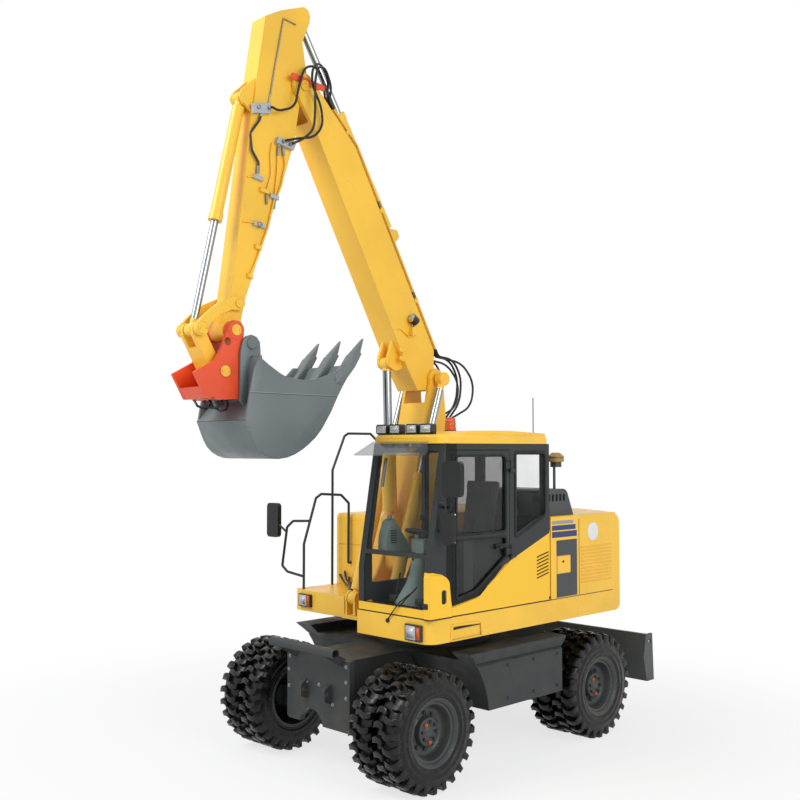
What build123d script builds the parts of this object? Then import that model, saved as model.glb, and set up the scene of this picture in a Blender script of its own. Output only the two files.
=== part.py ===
from build123d import *
import math
import os

# Wheeled excavator with a two-piece boom, full size, in millimetres.
# +X is the front, +Y the left side, +Z up. While it is drawn, the ground is z = 0
# and the slewing axis is x = y = 0. At the end everything moves by one shift, so
# that the origin is the middle of the whole machine on the ground.

# Wheels and axles
wheelbase = 2530
tyre_diameter = 1075
tyre_width = 268
twin_gap = 42
width_over_tyres = 2500
lug_count = 26
lug_depth = 40
lug_half_angle = 4.2
tyre_sides = 18
tyre_bead = 18
rim_diameter = 572
rim_wall = 12
rim_lip = 14
rim_disc = 14
dish_depth = 150
hub_radius = 120
hub_cap_radius = 95
hub_length = 215
kingpin_y = 700
kingpin_radius = 32
fork_gap = 220
fork_arm = 40
fork_half_width = 55
knuckle_clear = 6
flange_radius = 115
flange_thickness = 30
spindle_radius = 70
spindle_length = 200
axle_tube_radius = 85
differential_radius = 170
differential_half = 150
fit_clear = 0.1

# Undercarriage
frame_half_width = 340
frame_low = 610
frame_high = 1060
frame_front = 1500
frame_rear = -1560
front_plate_half_width = 450
front_plate_low = 430
front_plate_thickness = 60
front_arch_radius = 170
crossbar_x = 1740
crossbar_z = 1178
crossbar_radius = 44
crossbar_wall = 9
crossbar_half_length = 460
bracket_y = 330
bracket_thickness = 40
box_front = 500
box_rear = -640
box_out = 1205
box_low = 590
tread_in = 1010
tread_out = 1250
tread_high = 1150
arch_radius = 765
bolster_radius = 600
bolster_height = 60
ring_radius = 560
ring_wall = 90
ring_top = 1292
ring_clear = 0.6
gearbox_half_length = 190
gearbox_half_width = 150
gearbox_height = 150
shaft_radius = 30

# Blade
blade_half_width = 1250
blade_end_plate = 25
blade_pivot = (-1500, 620)
blade_base_pin = (-1520, 980)
blade_eye_pin = (-1980, 620)
blade_arm_in = 346
blade_arm_thickness = 60
blade_cylinder_y = 200
blade_pin_radius = 32
lashing_hole = (-2215, 880)
lashing_radius = 26

# Upper structure
deck_low = 1300
deck_high = 1515
body_half_width = 1240
cab_front = 1330
right_deck_front = 850
bay_left = 300
bay_right = -420
bay_rear = -420
bay_front = 880
bay_floor = 40
housing_rear = -1560
housing_wall = 40
housing_high = 2340
tail_x = -2030
tail_side = -1640
tail_top_round = 120
tail_foot_round = 70
rib_count = 11
rib_pitch = 36
rib_low = 1640
rib_height = 10
rib_proud = 7
tank_front = 230
tank_high = 2300
hood_front = -430
hood_rear = -930
hood_right = 300
hood_left = 1150
hood_high = 2610
slot_count = 5
slot_front = -500
slot_pitch = 62
slot_width = 36
slot_depth = 16
engine_length = 460
engine_width = 1100
engine_height = 640

# Cab
cab_right = 320
cab_left = 1240
cab_rear = -400
cab_top = 3068
cab_top_front = 1130
cab_knee = 1930
corner_panel = 12
cab_wall = 45
cab_floor = 40
roof_height = 82
roof_overhang = 20
glass = 8
door_front = 1045
door_rear = 225
door_low = 1600
door_knee = (700, 1655)
door_rear_low = 1950
door_high = 3010
door_gap = 6
hinge_out = 22
louvre_count = 7
louvre_low = 1745
louvre_pitch = 34
louvre_height = 15
louvre_depth = 12
hinge_radius = 16
hinge_pin = 8
hinge_length = 60
hinge_levels = (2050, 2860)

# Boom and arm, pins as x and z, sizes across the machine measured from the boom's plane
boom_y = -50
foot_pin = (350, 1850)
mid_pin = (60, 3745)
arm_pin = (1830, 6430)
tail_pin = (1800, 7130)
tip_pin = (2613, 4056)
lever_pin = (2557, 4299)
linkage_pin = (2945, 4046)
coupler_pin = (2726, 3690)
bucket_cylinder_pin = (2460, 6190)
arm_cylinder_pin = (570, 5210)
boom_cylinder_pin = (800, 1500)
adjust_low_pin = (560, 2300)
adjust_high_pin = (609, 3892)
lower_boom_half = 185
lower_boom_slot = 150
upper_boom_half = 145
fork_half = 105
arm_half = 100
pin_radius = 40
side_clear = 5
foot_plate_in = 190
foot_plate_out = 220
boom_cylinder_y = 265
boom_eye_half = 40
outer_lug_in = 310
outer_lug_out = 335
eye_half = 45
lug_in = 50
lug_out = 82

# Each cylinder: barrel and rod radius, barrel length from its pin, where the rod starts, eye radius
boom_cylinder = {"barrel": 62, "rod": 38, "length": 1330, "rod_start": 640, "eye": 70}
adjust_cylinder = {"barrel": 76, "rod": 44, "length": 850, "rod_start": 370, "eye": 62}
arm_cylinder = {"barrel": 60, "rod": 36, "length": 1320, "rod_start": 1020, "eye": 66}
bucket_cylinder = {"barrel": 56, "rod": 34, "length": 1190, "rod_start": 860, "eye": 58}
blade_cylinder = {"barrel": 50, "rod": 28, "length": 395, "rod_start": 165, "eye": 48}
neck_length = 88
gland_length = 70
gland_wall = 7
bore_start = 95

# Bucket, coupler and their levers
lever_in = 105
lever_out = 145
link_half = 100
link_slot = 55
coupler_in = 150
coupler_out = 180
coupler_cap = 184
bucket_ear_in = 185
bucket_ear_out = 212
bucket_half_width = 370
bucket_side = 25
bucket_wall = 20
bucket_pin_high = (2700, 3950)
bucket_pin_low = (2850, 3425)
bucket_pin_radius = 35
tooth_half = 38
tooth_spacing = 325

# Pipes and hoses, rows measured from the boom's plane
pipe_radius = 9
hose_radius = 11.5
boom_pipe_rows = (92, 118, 144, -100, -126)
pipe_stand = 34
clamp_height = 46
clamp_half = 20

# Handrails, mirrors and lamps
rail_radius = 14
outer_rail_inset = 40
inner_rail_inset = 90
mirror_thickness = 50
roof_lamp_half = 74
roof_lamp_high = 92
roof_lamp_depth = 70

half_wheelbase = wheelbase / 2
tyre_radius = tyre_diameter / 2
outer_tyre_y = width_over_tyres / 2 - tyre_width / 2
inner_tyre_y = outer_tyre_y - tyre_width - twin_gap
rim_radius = rim_diameter / 2
rim_out = outer_tyre_y + tyre_width / 2 - tyre_bead
rim_in = inner_tyre_y - tyre_width / 2 + tyre_bead
disc_y = rim_out - dish_depth
hub_in = disc_y + rim_disc - hub_length
flange_out = hub_in - knuckle_clear

parts = {}


def side_plane(y):
    """The XZ plane at y, so that local x is +X and local y is +Z."""
    return Plane(origin=(0, y, 0), x_dir=(1, 0, 0), z_dir=(0, -1, 0))


def outline(points):
    """A closed face from rows of two coordinates and, where a corner is round, its radius."""
    flat = [(row[0], row[1]) for row in points]
    radii = [row[2] if len(row) > 2 else 0 for row in points]
    if any(radii):
        return make_face(FilletPolyline(*flat, radius=radii, close=True))
    return make_face(Polyline(*flat, close=True))


def slab(points, right, left):
    """A side outline in x and z given thickness from y = right to y = left."""
    face = side_plane(left) * outline(points)
    return extrude(face, amount=left - right, dir=(0, -1, 0))


def plan_slab(points, low, high):
    """A plan outline in x and y given thickness from z = low to z = high."""
    return extrude(Pos(0, 0, low) * outline(points), amount=high - low, dir=(0, 0, 1))


def front_slab(points, rear, front):
    """A front outline in y and z given thickness from x = rear to x = front."""
    plane = Plane(origin=(rear, 0, 0), x_dir=(0, 1, 0), z_dir=(1, 0, 0))
    return extrude(plane * outline(points), amount=front - rear, dir=(1, 0, 0))


def block(x, y, z):
    """A box between two values on each axis."""
    middle = [(a[0] + a[1]) / 2 for a in (x, y, z)]
    size = [abs(a[1] - a[0]) for a in (x, y, z)]
    return Pos(*middle) * Box(*size)


def pin(place, right, left, radius):
    """A round bar across the machine through the point x, z."""
    middle = (right + left) / 2
    return Pos(place[0], middle, place[1]) * Rot(90, 0, 0) * Cylinder(radius, left - right)


def bar(start, end, radius):
    """A round bar between two points."""
    start = Vector(*start)
    along = Vector(*end) - start
    plane = Plane(origin=start, z_dir=along)
    return plane * Cylinder(radius, along.length, align=(Align.CENTER, Align.CENTER, Align.MIN))


def beside(start, end, along, height):
    """The point at a distance along a run from start to end and at a height off its left side."""
    length = math.dist(start, end)
    step_x = (end[0] - start[0]) / length
    step_z = (end[1] - start[1]) / length
    return (start[0] + along * step_x - height * step_z, start[1] + along * step_z + height * step_x)


def corner_beside(start, corner, end, height):
    """The point off a corner where two runs, each moved out by a height, meet."""
    before = Vector(*beside(start, corner, 0, 1)) - Vector(*start)
    after = Vector(*beside(corner, end, 0, 1)) - Vector(*corner)
    place = Vector(*corner) + (before + after) * (height / (1 + before.dot(after)))
    return (place.X, place.Y)


def clamp(start, end, along, right, left):
    """A pipe clamp seated on the left side of a run from start to end."""
    rows = []
    for reach, height in ((-clamp_half, 0), (clamp_half, 0), (clamp_half, clamp_height), (-clamp_half, clamp_height)):
        rows.append(beside(start, end, along + reach, height))
    return slab(rows, boom_y + right, boom_y + left)


def mirrored(shape):
    """The same shape on the other side of the machine."""
    return mirror(shape, about=Plane.XZ)


def tube_run(points, radius, bend):
    """A bent tube through points, with one bend radius, as one swept solid."""
    path = FilletPolyline(*points, radius=bend)
    return sweep(Plane(origin=path @ 0, z_dir=path % 0) * Circle(radius), path=path)


def hose_run(points, radius):
    """A hose through points, each bend as wide as the two runs beside it allow."""
    bends = []
    for before, corner, after in zip(points, points[1:], points[2:]):
        into = Vector(*corner) - Vector(*before)
        out = Vector(*after) - Vector(*corner)
        half_turn = math.radians(into.get_angle(out) / 2)
        bends.append(0.45 * min(into.length, out.length) / math.tan(half_turn))
    path = FilletPolyline(*points, radius=bends)
    return sweep(Plane(origin=path @ 0, z_dir=path % 0) * Circle(radius), path=path)


def boom_slab(points, half):
    """A side outline given thickness to both sides of the boom's plane."""
    return slab(points, boom_y - half, boom_y + half)


def boom_plates(points, inner, outer):
    """Two side plates, one on each side of the boom's plane."""
    return slab(points, boom_y + inner, boom_y + outer) + slab(points, boom_y - outer, boom_y - inner)


def boom_pin(place, half, radius):
    """A pin or bore through the boom's plane."""
    return pin(place, boom_y - half, boom_y + half, radius)


def boom_stubs(place, inner, outer, radius):
    """Two round bosses, one on each side of the boom's plane."""
    right = pin(place, boom_y - outer, boom_y - inner, radius)
    return right + pin(place, boom_y + inner, boom_y + outer, radius)


def polygon_ring(rows, sides=tyre_sides):
    """Polygon frustums about the Y axis through rows of y and radius over the flats."""
    sections = []
    for y, radius in rows:
        plane = Plane(origin=(0, y, 0), x_dir=(1, 0, 0), z_dir=(0, 1, 0))
        sections.append(plane * RegularPolygon(radius, sides, major_radius=False, rotation=180 / sides))
    return loft(sections, ruled=True)


def solids_of(shape):
    """Every solid in a shape or in a list of shapes."""
    if isinstance(shape, (list, tuple)):
        return [solid for one in shape for solid in solids_of(one)]
    return list(shape.solids())


def node(name, *shapes):
    """Keep one named sub-part, made of one solid or of several that don't touch."""
    parts[name] = solids_of(shapes)


def lug_ring(low, high):
    """The tread's cross lugs with a groove between each two, one lug flat on the ground."""
    pitch = 360 / lug_count
    tip = tyre_radius / math.cos(math.radians(lug_half_angle))
    points = []
    for index in range(lug_count):
        middle = 90 + index * pitch
        for radius, angle in (
            (tip, middle - lug_half_angle), (tip, middle + lug_half_angle), (tyre_radius - lug_depth, middle + pitch / 2)):
            points.append((radius * math.cos(math.radians(angle)), radius * math.sin(math.radians(angle))))
    plane = Plane(origin=(0, low, 0), x_dir=(1, 0, 0), z_dir=(0, 1, 0))
    return extrude(plane * outline(points), amount=high - low, dir=(0, 1, 0))


def tyre():
    """One tyre about the Y axis, out to the tips of its lugs, with its bead seats."""
    half = tyre_width / 2
    shoulder = half - 17
    wall_high = tyre_radius - lug_depth - 2
    # y, radius over the flats
    rows = ((-half, 0.76 * tyre_radius), (-shoulder, wall_high), (shoulder, wall_high), (half, 0.76 * tyre_radius))
    body = polygon_ring(rows) + lug_ring(-shoulder, shoulder)
    body -= polygon_ring(((-half - 1, rim_radius), (half + 1, rim_radius)))
    for side in (-1, 1):
        seat = rim_radius + rim_lip + 4
        recess = ((side * (half - tyre_bead), seat), (side * (half + 1), seat + 16))
        body -= polygon_ring(recess)
    return body


def rim():
    """The rim of a pair of twin tyres on the left side, with its deep dish and hub."""
    inside = rim_radius - rim_wall
    body = polygon_ring(((rim_in, rim_radius), (rim_out, rim_radius)))
    for start, end in ((rim_out, rim_out + 12), (rim_in - 12, rim_in)):
        body += polygon_ring(((start, rim_radius + rim_lip), (end, rim_radius + rim_lip)))
    body -= polygon_ring(((rim_in - 13, inside), (disc_y, inside)))
    body -= polygon_ring(((disc_y + rim_disc, inside - 50), (rim_out + 13, inside)))
    hub_out = hub_in + hub_length + 45
    body += pin((0, 0), hub_in, disc_y + rim_disc + 20, hub_radius)
    body += pin((0, 0), disc_y, hub_out, hub_cap_radius)
    body -= pin((0, 0), hub_in - 1, hub_in + spindle_length, spindle_radius + fit_clear)
    return body


def spindle():
    """The flange and spindle that carry a left wheel, about the Y axis."""
    reach = flange_out + knuckle_clear + spindle_length - 6
    return pin((0, 0), flange_out - flange_thickness, flange_out, flange_radius) + pin(
        (0, 0), flange_out - flange_thickness, reach, spindle_radius)


# Wheels: the name of each corner, its axle's x, and its side
corners = (
    ("front_left", half_wheelbase, 1),
    ("front_right", half_wheelbase, -1),
    ("rear_left", -half_wheelbase, 1),
    ("rear_right", -half_wheelbase, -1),
)
one_tyre = tyre()
left_rim = rim()
for name, x, side in corners:
    place = Pos(x, 0, tyre_radius)
    pair = [place * Pos(0, side * y, 0) * one_tyre for y in (outer_tyre_y, inner_tyre_y)]
    node("tyres_" + name, pair)
    node("rim_" + name, place * (left_rim if side > 0 else mirrored(left_rim)))

# Front axle with the forks for its knuckles
axle = (half_wheelbase, tyre_radius)
fork_root = kingpin_y - 140
fork_end = kingpin_y + fork_half_width
front_axle = pin(axle, -fork_root, fork_root, axle_tube_radius)
front_axle += pin(axle, -differential_half, differential_half, differential_radius)
front_axle += block(
    (half_wheelbase - 90, half_wheelbase + 90), (-differential_half, differential_half),
    (tyre_radius, frame_low + differential_half))
fork_high = fork_gap / 2 + fork_arm
left_fork = block(
    (half_wheelbase - fork_half_width, half_wheelbase + fork_half_width),
    (fork_root - fork_arm, fork_end), (tyre_radius - fork_high, tyre_radius + fork_high))
left_fork -= block(
    (half_wheelbase - 200, half_wheelbase + 200),
    (fork_root, fork_end + 1), (tyre_radius - fork_gap / 2, tyre_radius + fork_gap / 2))
left_fork -= Pos(half_wheelbase, kingpin_y, tyre_radius) * Cylinder(kingpin_radius + fit_clear, 2 * fork_high + 2)
front_axle += left_fork + mirrored(left_fork)
nose = bar((half_wheelbase, 0, tyre_radius), (half_wheelbase - 260, 0, tyre_radius), 80)
node("front_axle", front_axle + nose)

# Knuckles, each with its kingpin and spindle
knuckle = Pos(half_wheelbase, 0, tyre_radius) * spindle()
core_high = fork_gap / 2 - knuckle_clear
knuckle += block(
    (half_wheelbase - fork_half_width, half_wheelbase + fork_half_width),
    (kingpin_y - fork_half_width, flange_out - flange_thickness),
    (tyre_radius - core_high, tyre_radius + core_high))
knuckle += Pos(half_wheelbase, kingpin_y, tyre_radius) * Cylinder(kingpin_radius, 2 * fork_high)
node("knuckle_left", knuckle)
node("knuckle_right", mirrored(knuckle))

# Rear axle
rear_place = (-half_wheelbase, tyre_radius)
rear_axle = pin(rear_place, -flange_out + 1, flange_out - 1, axle_tube_radius)
rear_axle += pin(rear_place, -differential_half, differential_half, differential_radius + 10)
rear_axle += block(
    (-half_wheelbase - 90, -half_wheelbase + 90), (-differential_half, differential_half),
    (tyre_radius, frame_low + differential_half))
rear_spindle = Pos(-half_wheelbase, 0, tyre_radius) * spindle()
rear_axle += rear_spindle + mirrored(rear_spindle)
rear_axle += bar((-half_wheelbase, 0, tyre_radius), (-half_wheelbase + 270, 0, tyre_radius), 80)
node("rear_axle", rear_axle)

# Gearbox and shafts between the axles
gearbox = block(
    (-gearbox_half_length, gearbox_half_length), (-gearbox_half_width, gearbox_half_width),
    (frame_low - gearbox_height, frame_low))
gearbox += bar((-half_wheelbase + 270, 0, tyre_radius), (half_wheelbase - 260, 0, tyre_radius), shaft_radius)
node("driveline", gearbox)

# Chassis frame, narrow beside the steered wheels
axle_clear = frame_low + differential_half
chassis = slab((
    (frame_rear, axle_clear), (frame_rear, 800), (-1450, 870), (-1425, frame_high), (frame_front, frame_high),
    (frame_front, axle_clear), (1020, axle_clear), (930, frame_low), (-930, frame_low), (-1020, axle_clear),
    (-1450, axle_clear), (-1460, 560), (-1545, 560)), -frame_half_width, frame_half_width)
front_plate = front_slab((
    (-front_plate_half_width, front_plate_low, 40), (-front_plate_half_width, 1080),
    (front_plate_half_width, 1080), (front_plate_half_width, front_plate_low, 40)),
    frame_front, frame_front + front_plate_thickness)
front_plate -= bar((frame_front - 1, -90, front_plate_low - 30), (
    frame_front + front_plate_thickness + 1, -90, front_plate_low - 30), front_arch_radius)
chassis += front_plate
for side in (-1, 1):
    y = side * bracket_y
    chassis += slab((
        (frame_front, 990), (crossbar_x - 20, crossbar_z - 60), (crossbar_x, crossbar_z - 60),
        (crossbar_x, crossbar_z), (crossbar_x - 60, crossbar_z), (frame_front, 1075)),
        y - bracket_thickness / 2, y + bracket_thickness / 2)
    lug_y = side * 170
    chassis += slab((
        (frame_front + 50, 650), (frame_front + 140, 690, 25), (frame_front + 140, 800, 25),
        (frame_front + 50, 850)), lug_y - 25, lug_y + 25)
    chassis -= pin((frame_front + 100, 745), lug_y - 30, lug_y + 30, 26)
chassis -= pin((crossbar_x, crossbar_z), -crossbar_half_length, crossbar_half_length, crossbar_radius)
chassis += Pos(0, 0, frame_high + bolster_height / 2) * Cylinder(bolster_radius, bolster_height)
blade_lugs = []
for side in (-1, 1):
    for lug_side in (-lug_in - 22, lug_in):
        y = side * blade_cylinder_y + lug_side
        blade_lugs.append(slab((
            (-1380, 1040), (-1440, 1025, 20), (-1560, 1025, 30), (-1575, 940, 30), (-1535, 800), (-1380, 900)),
            y, y + 22))
    middle = side * blade_cylinder_y
    blade_lugs.append(pin(blade_base_pin, middle - lug_in - 22, middle + lug_in + 22, blade_pin_radius))
for lug in blade_lugs:
    chassis += lug
chassis += pin(blade_pivot, -blade_arm_in - blade_arm_thickness, blade_arm_in + blade_arm_thickness, blade_pin_radius)
node("chassis_frame", chassis)

# Hollow bar across the front, round and open at both ends
crossbar = pin((crossbar_x, crossbar_z), -crossbar_half_length, crossbar_half_length, crossbar_radius)
crossbar -= pin((
    crossbar_x, crossbar_z), -crossbar_half_length - 1, crossbar_half_length + 1, crossbar_radius - crossbar_wall)
node("front_crossbar", crossbar)

# Side boxes with their treads, hollowed in front round the steered tyres
box_section = (
    (frame_half_width, box_low), (box_out, box_low), (box_out, 1010), (box_out - 20, 1025), (box_out, 1045),
    (tread_out, tread_high - 30), (tread_out, tread_high), (tread_in, tread_high), (tread_in, frame_high),
    (frame_half_width, frame_high))
box = front_slab(box_section, box_rear, 860)
box -= pin((half_wheelbase, tyre_radius), 0, tread_out + 1, arch_radius)
box -= block((box_front, 900), (0, tread_out + 1), (box_low - 1, tyre_radius))
node("side_boxes", box, mirrored(box))

# Slewing ring's fixed race
race = Cylinder(ring_radius, ring_top - frame_high - bolster_height, align=(Align.CENTER, Align.CENTER, Align.MIN))
race -= Cylinder(ring_radius - ring_wall, ring_top, align=(Align.CENTER, Align.CENTER, Align.MIN))
node("slew_ring", Pos(0, 0, frame_high + bolster_height) * race)

# Blade with its arms, and its two cylinders
blade_face = (
    (-2150, 450), (-2085, 710), (-2140, 965), (-2180, 965), (-2125, 712), (-2190, 450))
blade = slab(blade_face, -blade_half_width, blade_half_width)
for side in (-1, 1):
    edge = side * (blade_half_width - blade_end_plate / 2)
    blade += slab((
        (-2150, 450), (-2085, 710), (-2140, 965), (-2265, 965), (-2290, 450)),
        edge - blade_end_plate / 2, edge + blade_end_plate / 2)
    blade -= pin(lashing_hole, edge - blade_end_plate, edge + blade_end_plate, lashing_radius)
    middle = side * (blade_arm_in + blade_arm_thickness / 2)
    arm_low = middle - blade_arm_thickness / 2
    arm_high = middle + blade_arm_thickness / 2
    blade += slab((
        (-1500, 690), (-2100, 770), (-2125, 560), (-1500, 550)), arm_low, arm_high)
    blade += pin(blade_pivot, arm_low, arm_high, 75)
    blade -= pin(blade_pivot, arm_low - 1, arm_high + 1, blade_pin_radius + fit_clear)
    for lug_side in (-lug_in - 22, lug_in):
        y = side * blade_cylinder_y + lug_side
        blade += slab((
            (-2110, 740), (-1990, 680, 25), (-1925, 650, 30), (-1925, 590, 30), (-2110, 540)), y, y + 22)
node("blade", blade)


def ram(base, eye, y, size, base_pin, half):
    """The barrel and the rod of one cylinder, from its base pin to its rod's eye in the plane y."""
    start = Vector(base[0], y, base[1])
    end = Vector(eye[0], y, eye[1])
    along = (end - start).normalized()
    gland = size["length"]
    barrel = bar(start, start + along * (neck_length + 10), half - 4)
    barrel += bar(start + along * neck_length, start + along * gland, size["barrel"])
    barrel += bar(start + along * (gland - gland_length), start + along * gland, size["barrel"] + gland_wall)
    barrel += pin(base, y - half, y + half, size["eye"])
    barrel -= pin(base, y - half - 1, y + half + 1, base_pin + fit_clear)
    barrel -= bar(start + along * bore_start, start + along * (gland + 1), size["rod"] + fit_clear)
    rod = bar(start + along * size["rod_start"], end, size["rod"])
    rod += pin(eye, y - half, y + half, size["eye"])
    return barrel, rod


blade_barrels = []
blade_rods = []
for side in (-1, 1):
    barrel, rod = ram(
        blade_base_pin, blade_eye_pin, side * blade_cylinder_y, blade_cylinder, blade_pin_radius, eye_half)
    blade_barrels.append(barrel)
    blade_rods.append(rod)
node("blade_cylinder_barrels", blade_barrels)
node("blade_cylinder_rods", blade_rods)

# Turntable: bay floor, boom foot plates, cylinder lugs and the ring's inner race
turntable = block((housing_rear, bay_front), (bay_right, bay_left), (deck_low, deck_low + bay_floor))
inner_race = Cylinder(
    ring_radius - ring_wall - ring_clear, deck_low - 1150, align=(Align.CENTER, Align.CENTER, Align.MIN))
inner_race -= Cylinder(
    ring_radius - 2 * ring_wall, deck_low, align=(Align.CENTER, Align.CENTER, Align.MIN))
turntable += Pos(0, 0, 1150) * inner_race
floor = deck_low + bay_floor
turntable += boom_plates((
    (-200, floor), (100, 1680), (222, 1890), (350, 1978), (465, 1900), (560, 1720), (735, 1550), (868, 1530),
    (868, floor)), foot_plate_in, foot_plate_out)
turntable += boom_plates((
    (690, floor), (735, 1540), (865, 1540), (868, floor)), outer_lug_in, outer_lug_out)
turntable += boom_stubs(boom_cylinder_pin, foot_plate_in, foot_plate_out, 74)
turntable += boom_stubs(boom_cylinder_pin, outer_lug_in, outer_lug_out, 74)
turntable += boom_stubs(foot_pin, foot_plate_in, foot_plate_out, 130)
turntable += boom_pin(foot_pin, foot_plate_out + 12, pin_radius)
turntable += boom_stubs(boom_cylinder_pin, foot_plate_in, outer_lug_out, pin_radius)
node("turntable_frame", turntable)

# Deck round the boom's bay, longer on the cab's side
deck = plan_slab((
    (housing_rear, -body_half_width), (right_deck_front, -body_half_width, 90), (right_deck_front, bay_right),
    (bay_rear, bay_right), (bay_rear, bay_left), (cab_front, bay_left), (cab_front, body_half_width, 130),
    (housing_rear, body_half_width)), deck_low, deck_high)
deck -= block((housing_rear - 1, bay_rear), (bay_right, bay_left), (deck_low, floor))
node("deck", deck)

# Counterweight with a round tail
tail_arc = ThreePointArc((tail_side, -body_half_width), (tail_x, 0), (tail_side, body_half_width))
tail_edges = [
    Line((housing_rear, body_half_width), (housing_rear, -body_half_width)),
    Line((housing_rear, -body_half_width), (tail_side, -body_half_width)),
    tail_arc,
    Line((tail_side, body_half_width), (housing_rear, body_half_width)),
]
tail = extrude(Pos(0, 0, deck_low) * make_face(tail_edges), amount=housing_high - deck_low, dir=(0, 0, 1))
round_edges = [edge for edge in tail.edges() if edge.geom_type == GeomType.CIRCLE]
tail = fillet([edge for edge in round_edges if edge.center().Z > housing_high - 1], tail_top_round)
round_edges = [edge for edge in tail.edges() if edge.geom_type == GeomType.CIRCLE]
tail = fillet([edge for edge in round_edges if edge.center().Z < deck_low + 1], tail_foot_round)
node("counterweight", tail)

# Rear housing over the engine, hollow, with the engine as one block
housing = block(
    (housing_rear, bay_rear), (-body_half_width, body_half_width), (deck_high, housing_high))
housing -= block(
    (housing_rear + housing_wall, bay_rear - housing_wall),
    (-body_half_width + housing_wall, body_half_width - housing_wall), (deck_high - 1, housing_high - housing_wall))
for side in (-1, 1):
    face = side * body_half_width
    for index in range(rib_count):
        z = rib_low + index * rib_pitch
        housing += block((-1486, -930), (face - side, face + side * rib_proud), (z, z + rib_height))
housing += block((-740, -525), (body_half_width - 1, body_half_width + rib_proud), (1770, 1940))
node("rear_housing", housing)
engine_middle = (housing_rear + bay_rear) / 2
node("engine_block", block(
    (engine_middle - engine_length / 2, engine_middle + engine_length / 2),
    (-engine_width / 2, engine_width / 2), (deck_high, deck_high + engine_height)))
tank = block((bay_rear, tank_front), (-body_half_width, bay_right), (deck_high, tank_high))
tank = fillet(tank.faces().sort_by(Axis.Z)[-1].edges().filter_by(Axis.Y).sort_by(Axis.X)[-1], 50)
seam = block((bay_rear - 1, tank_front + 1), (-body_half_width - 1, bay_right + 1), (1956, 1966))
tank -= seam - block((bay_rear - 2, tank_front - 6), (6 - body_half_width, bay_right - 6), (1950, 1970))
node("right_housing", tank)
hood = slab((
    (hood_front, housing_high), (hood_front, hood_high, 50), (hood_rear + 120, hood_high, 90),
    (hood_rear, housing_high)), hood_right, hood_left)
for index in range(slot_count):
    x = slot_front - index * slot_pitch
    hood -= block((x - slot_width, x), (hood_left - slot_depth, hood_left + 1), (2488, 2556))
    hood -= block((x - slot_width, x), (hood_left - 220, hood_left - 80), (hood_high - slot_depth, hood_high + 1))
node("engine_hood", hood)

# Air pre-cleaner on its post beside the hood
cleaner = Pos(-672, 1100, (hood_high + 2845) / 2) * Cylinder(14, 2845 - hood_high)
cleaner += Pos(-700, 1100, 2862) * Cylinder(58, 60)
cleaner += Pos(-700, 1100, 2915) * Cylinder(84, 58)
cleaner += Pos(-700, 1100, 2962) * Cone(84, 40, 36)
node("air_cleaner", cleaner)

# Cab shell
cab_outer = (
    (cab_rear, deck_high), (cab_front, deck_high), (cab_front, cab_knee), (cab_top_front, cab_top),
    (cab_rear, cab_top))


def cab_inset(distance):
    """The cab's side outline with its front and rear faces moved in."""
    rows = []
    for x, z in cab_outer:
        rows.append((x + distance if x == cab_rear else x - distance, z))
    return rows


cab = slab(cab_outer, cab_right, cab_left)
inside = slab(cab_inset(cab_wall), cab_right + cab_wall, cab_left - cab_wall)
inside &= block((cab_rear, cab_front), (cab_right, cab_left), (deck_high + cab_floor, cab_top + 1))
cab -= inside + block(
    (cab_rear + cab_wall, cab_top_front - cab_wall), (cab_right + cab_wall, cab_left - cab_wall),
    (cab_top - 20, cab_top + 1))
wind_low = block((cab_front - 200, cab_front + 20), (cab_right + 70, cab_left - 70), (1600, 2045))
wind_high = block((cab_top_front - 60, cab_front + 20), (cab_right + 70, cab_left - 70), (2085, 3000))
front_band = slab(cab_inset(15), cab_right, cab_left) - slab(cab_inset(15 + glass), cab_right - 1, cab_left + 1)
front_band &= block((cab_top_front - 80, cab_front), (cab_right, cab_left), (deck_high, cab_top))
rear_window = block((cab_rear - 1, cab_rear + cab_wall + 1), (cab_right + 90, cab_left - 90), (2350, 2960))
quarter_window = (
    (-330, 2370, 30), (130, 2180, 30), (130, 2980, 30), (-330, 2980, 30))
right_windows = (
    ((-330, 1960, 30), (420, 1960, 30), (420, 2980, 30), (-330, 2980, 30)),
    ((480, 1760, 30), (1200, 1760, 30), (1200, 2150), (1060, 2980, 30), (480, 2980, 30)),
)
door_hole = (
    (door_rear, door_rear_low), door_knee, (door_front, door_low), (door_front, door_high), (door_rear, door_high))
cab -= wind_low
cab -= wind_high
cab -= rear_window
cab -= slab(quarter_window, cab_left - cab_wall - 1, cab_left + 1)
cab -= slab(door_hole, cab_left - cab_wall - 1, cab_left + 1)
for window in right_windows:
    cab -= slab(window, cab_right - 1, cab_right + cab_wall + 1)
for index in range(louvre_count):
    z = louvre_low + index * louvre_pitch
    cab -= slab((
        (-190, z), (-385, z + 42), (-385, z + 42 + louvre_height), (-190, z + louvre_height)),
        cab_left - louvre_depth, cab_left + 1)
corner = slab((
    (door_front + 10, deck_high), (cab_front + corner_panel, deck_high), (cab_front + corner_panel, 1910, 20),
    (1180, 1900, 40), (1090, 1845, 60)), cab_left - 65, cab_left + corner_panel)
corner -= block((0, cab_front - 1), (0, cab_left - 1), (0, cab_knee + 1))
corner -= slab(((1130, 1645, 20), (1192, 1645, 20), (1192, 1768, 20), (1130, 1768, 20)), cab_left, cab_left + 40)
cab += corner
hinge_y = cab_left + hinge_out
for z in hinge_levels:
    cab += Pos(door_rear, hinge_y, z) * Cylinder(hinge_pin, 2 * hinge_length)
    cab += Pos(door_rear, hinge_y, z - 0.75 * hinge_length - 3) * Cylinder(hinge_radius, hinge_length / 2)
    cab += block(
        (door_rear - 60, door_rear), (cab_left - 10, hinge_y + hinge_radius - 4),
        (z - hinge_length - 3, z - hinge_length / 2 - 3))
node("cab_frame", cab)

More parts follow.
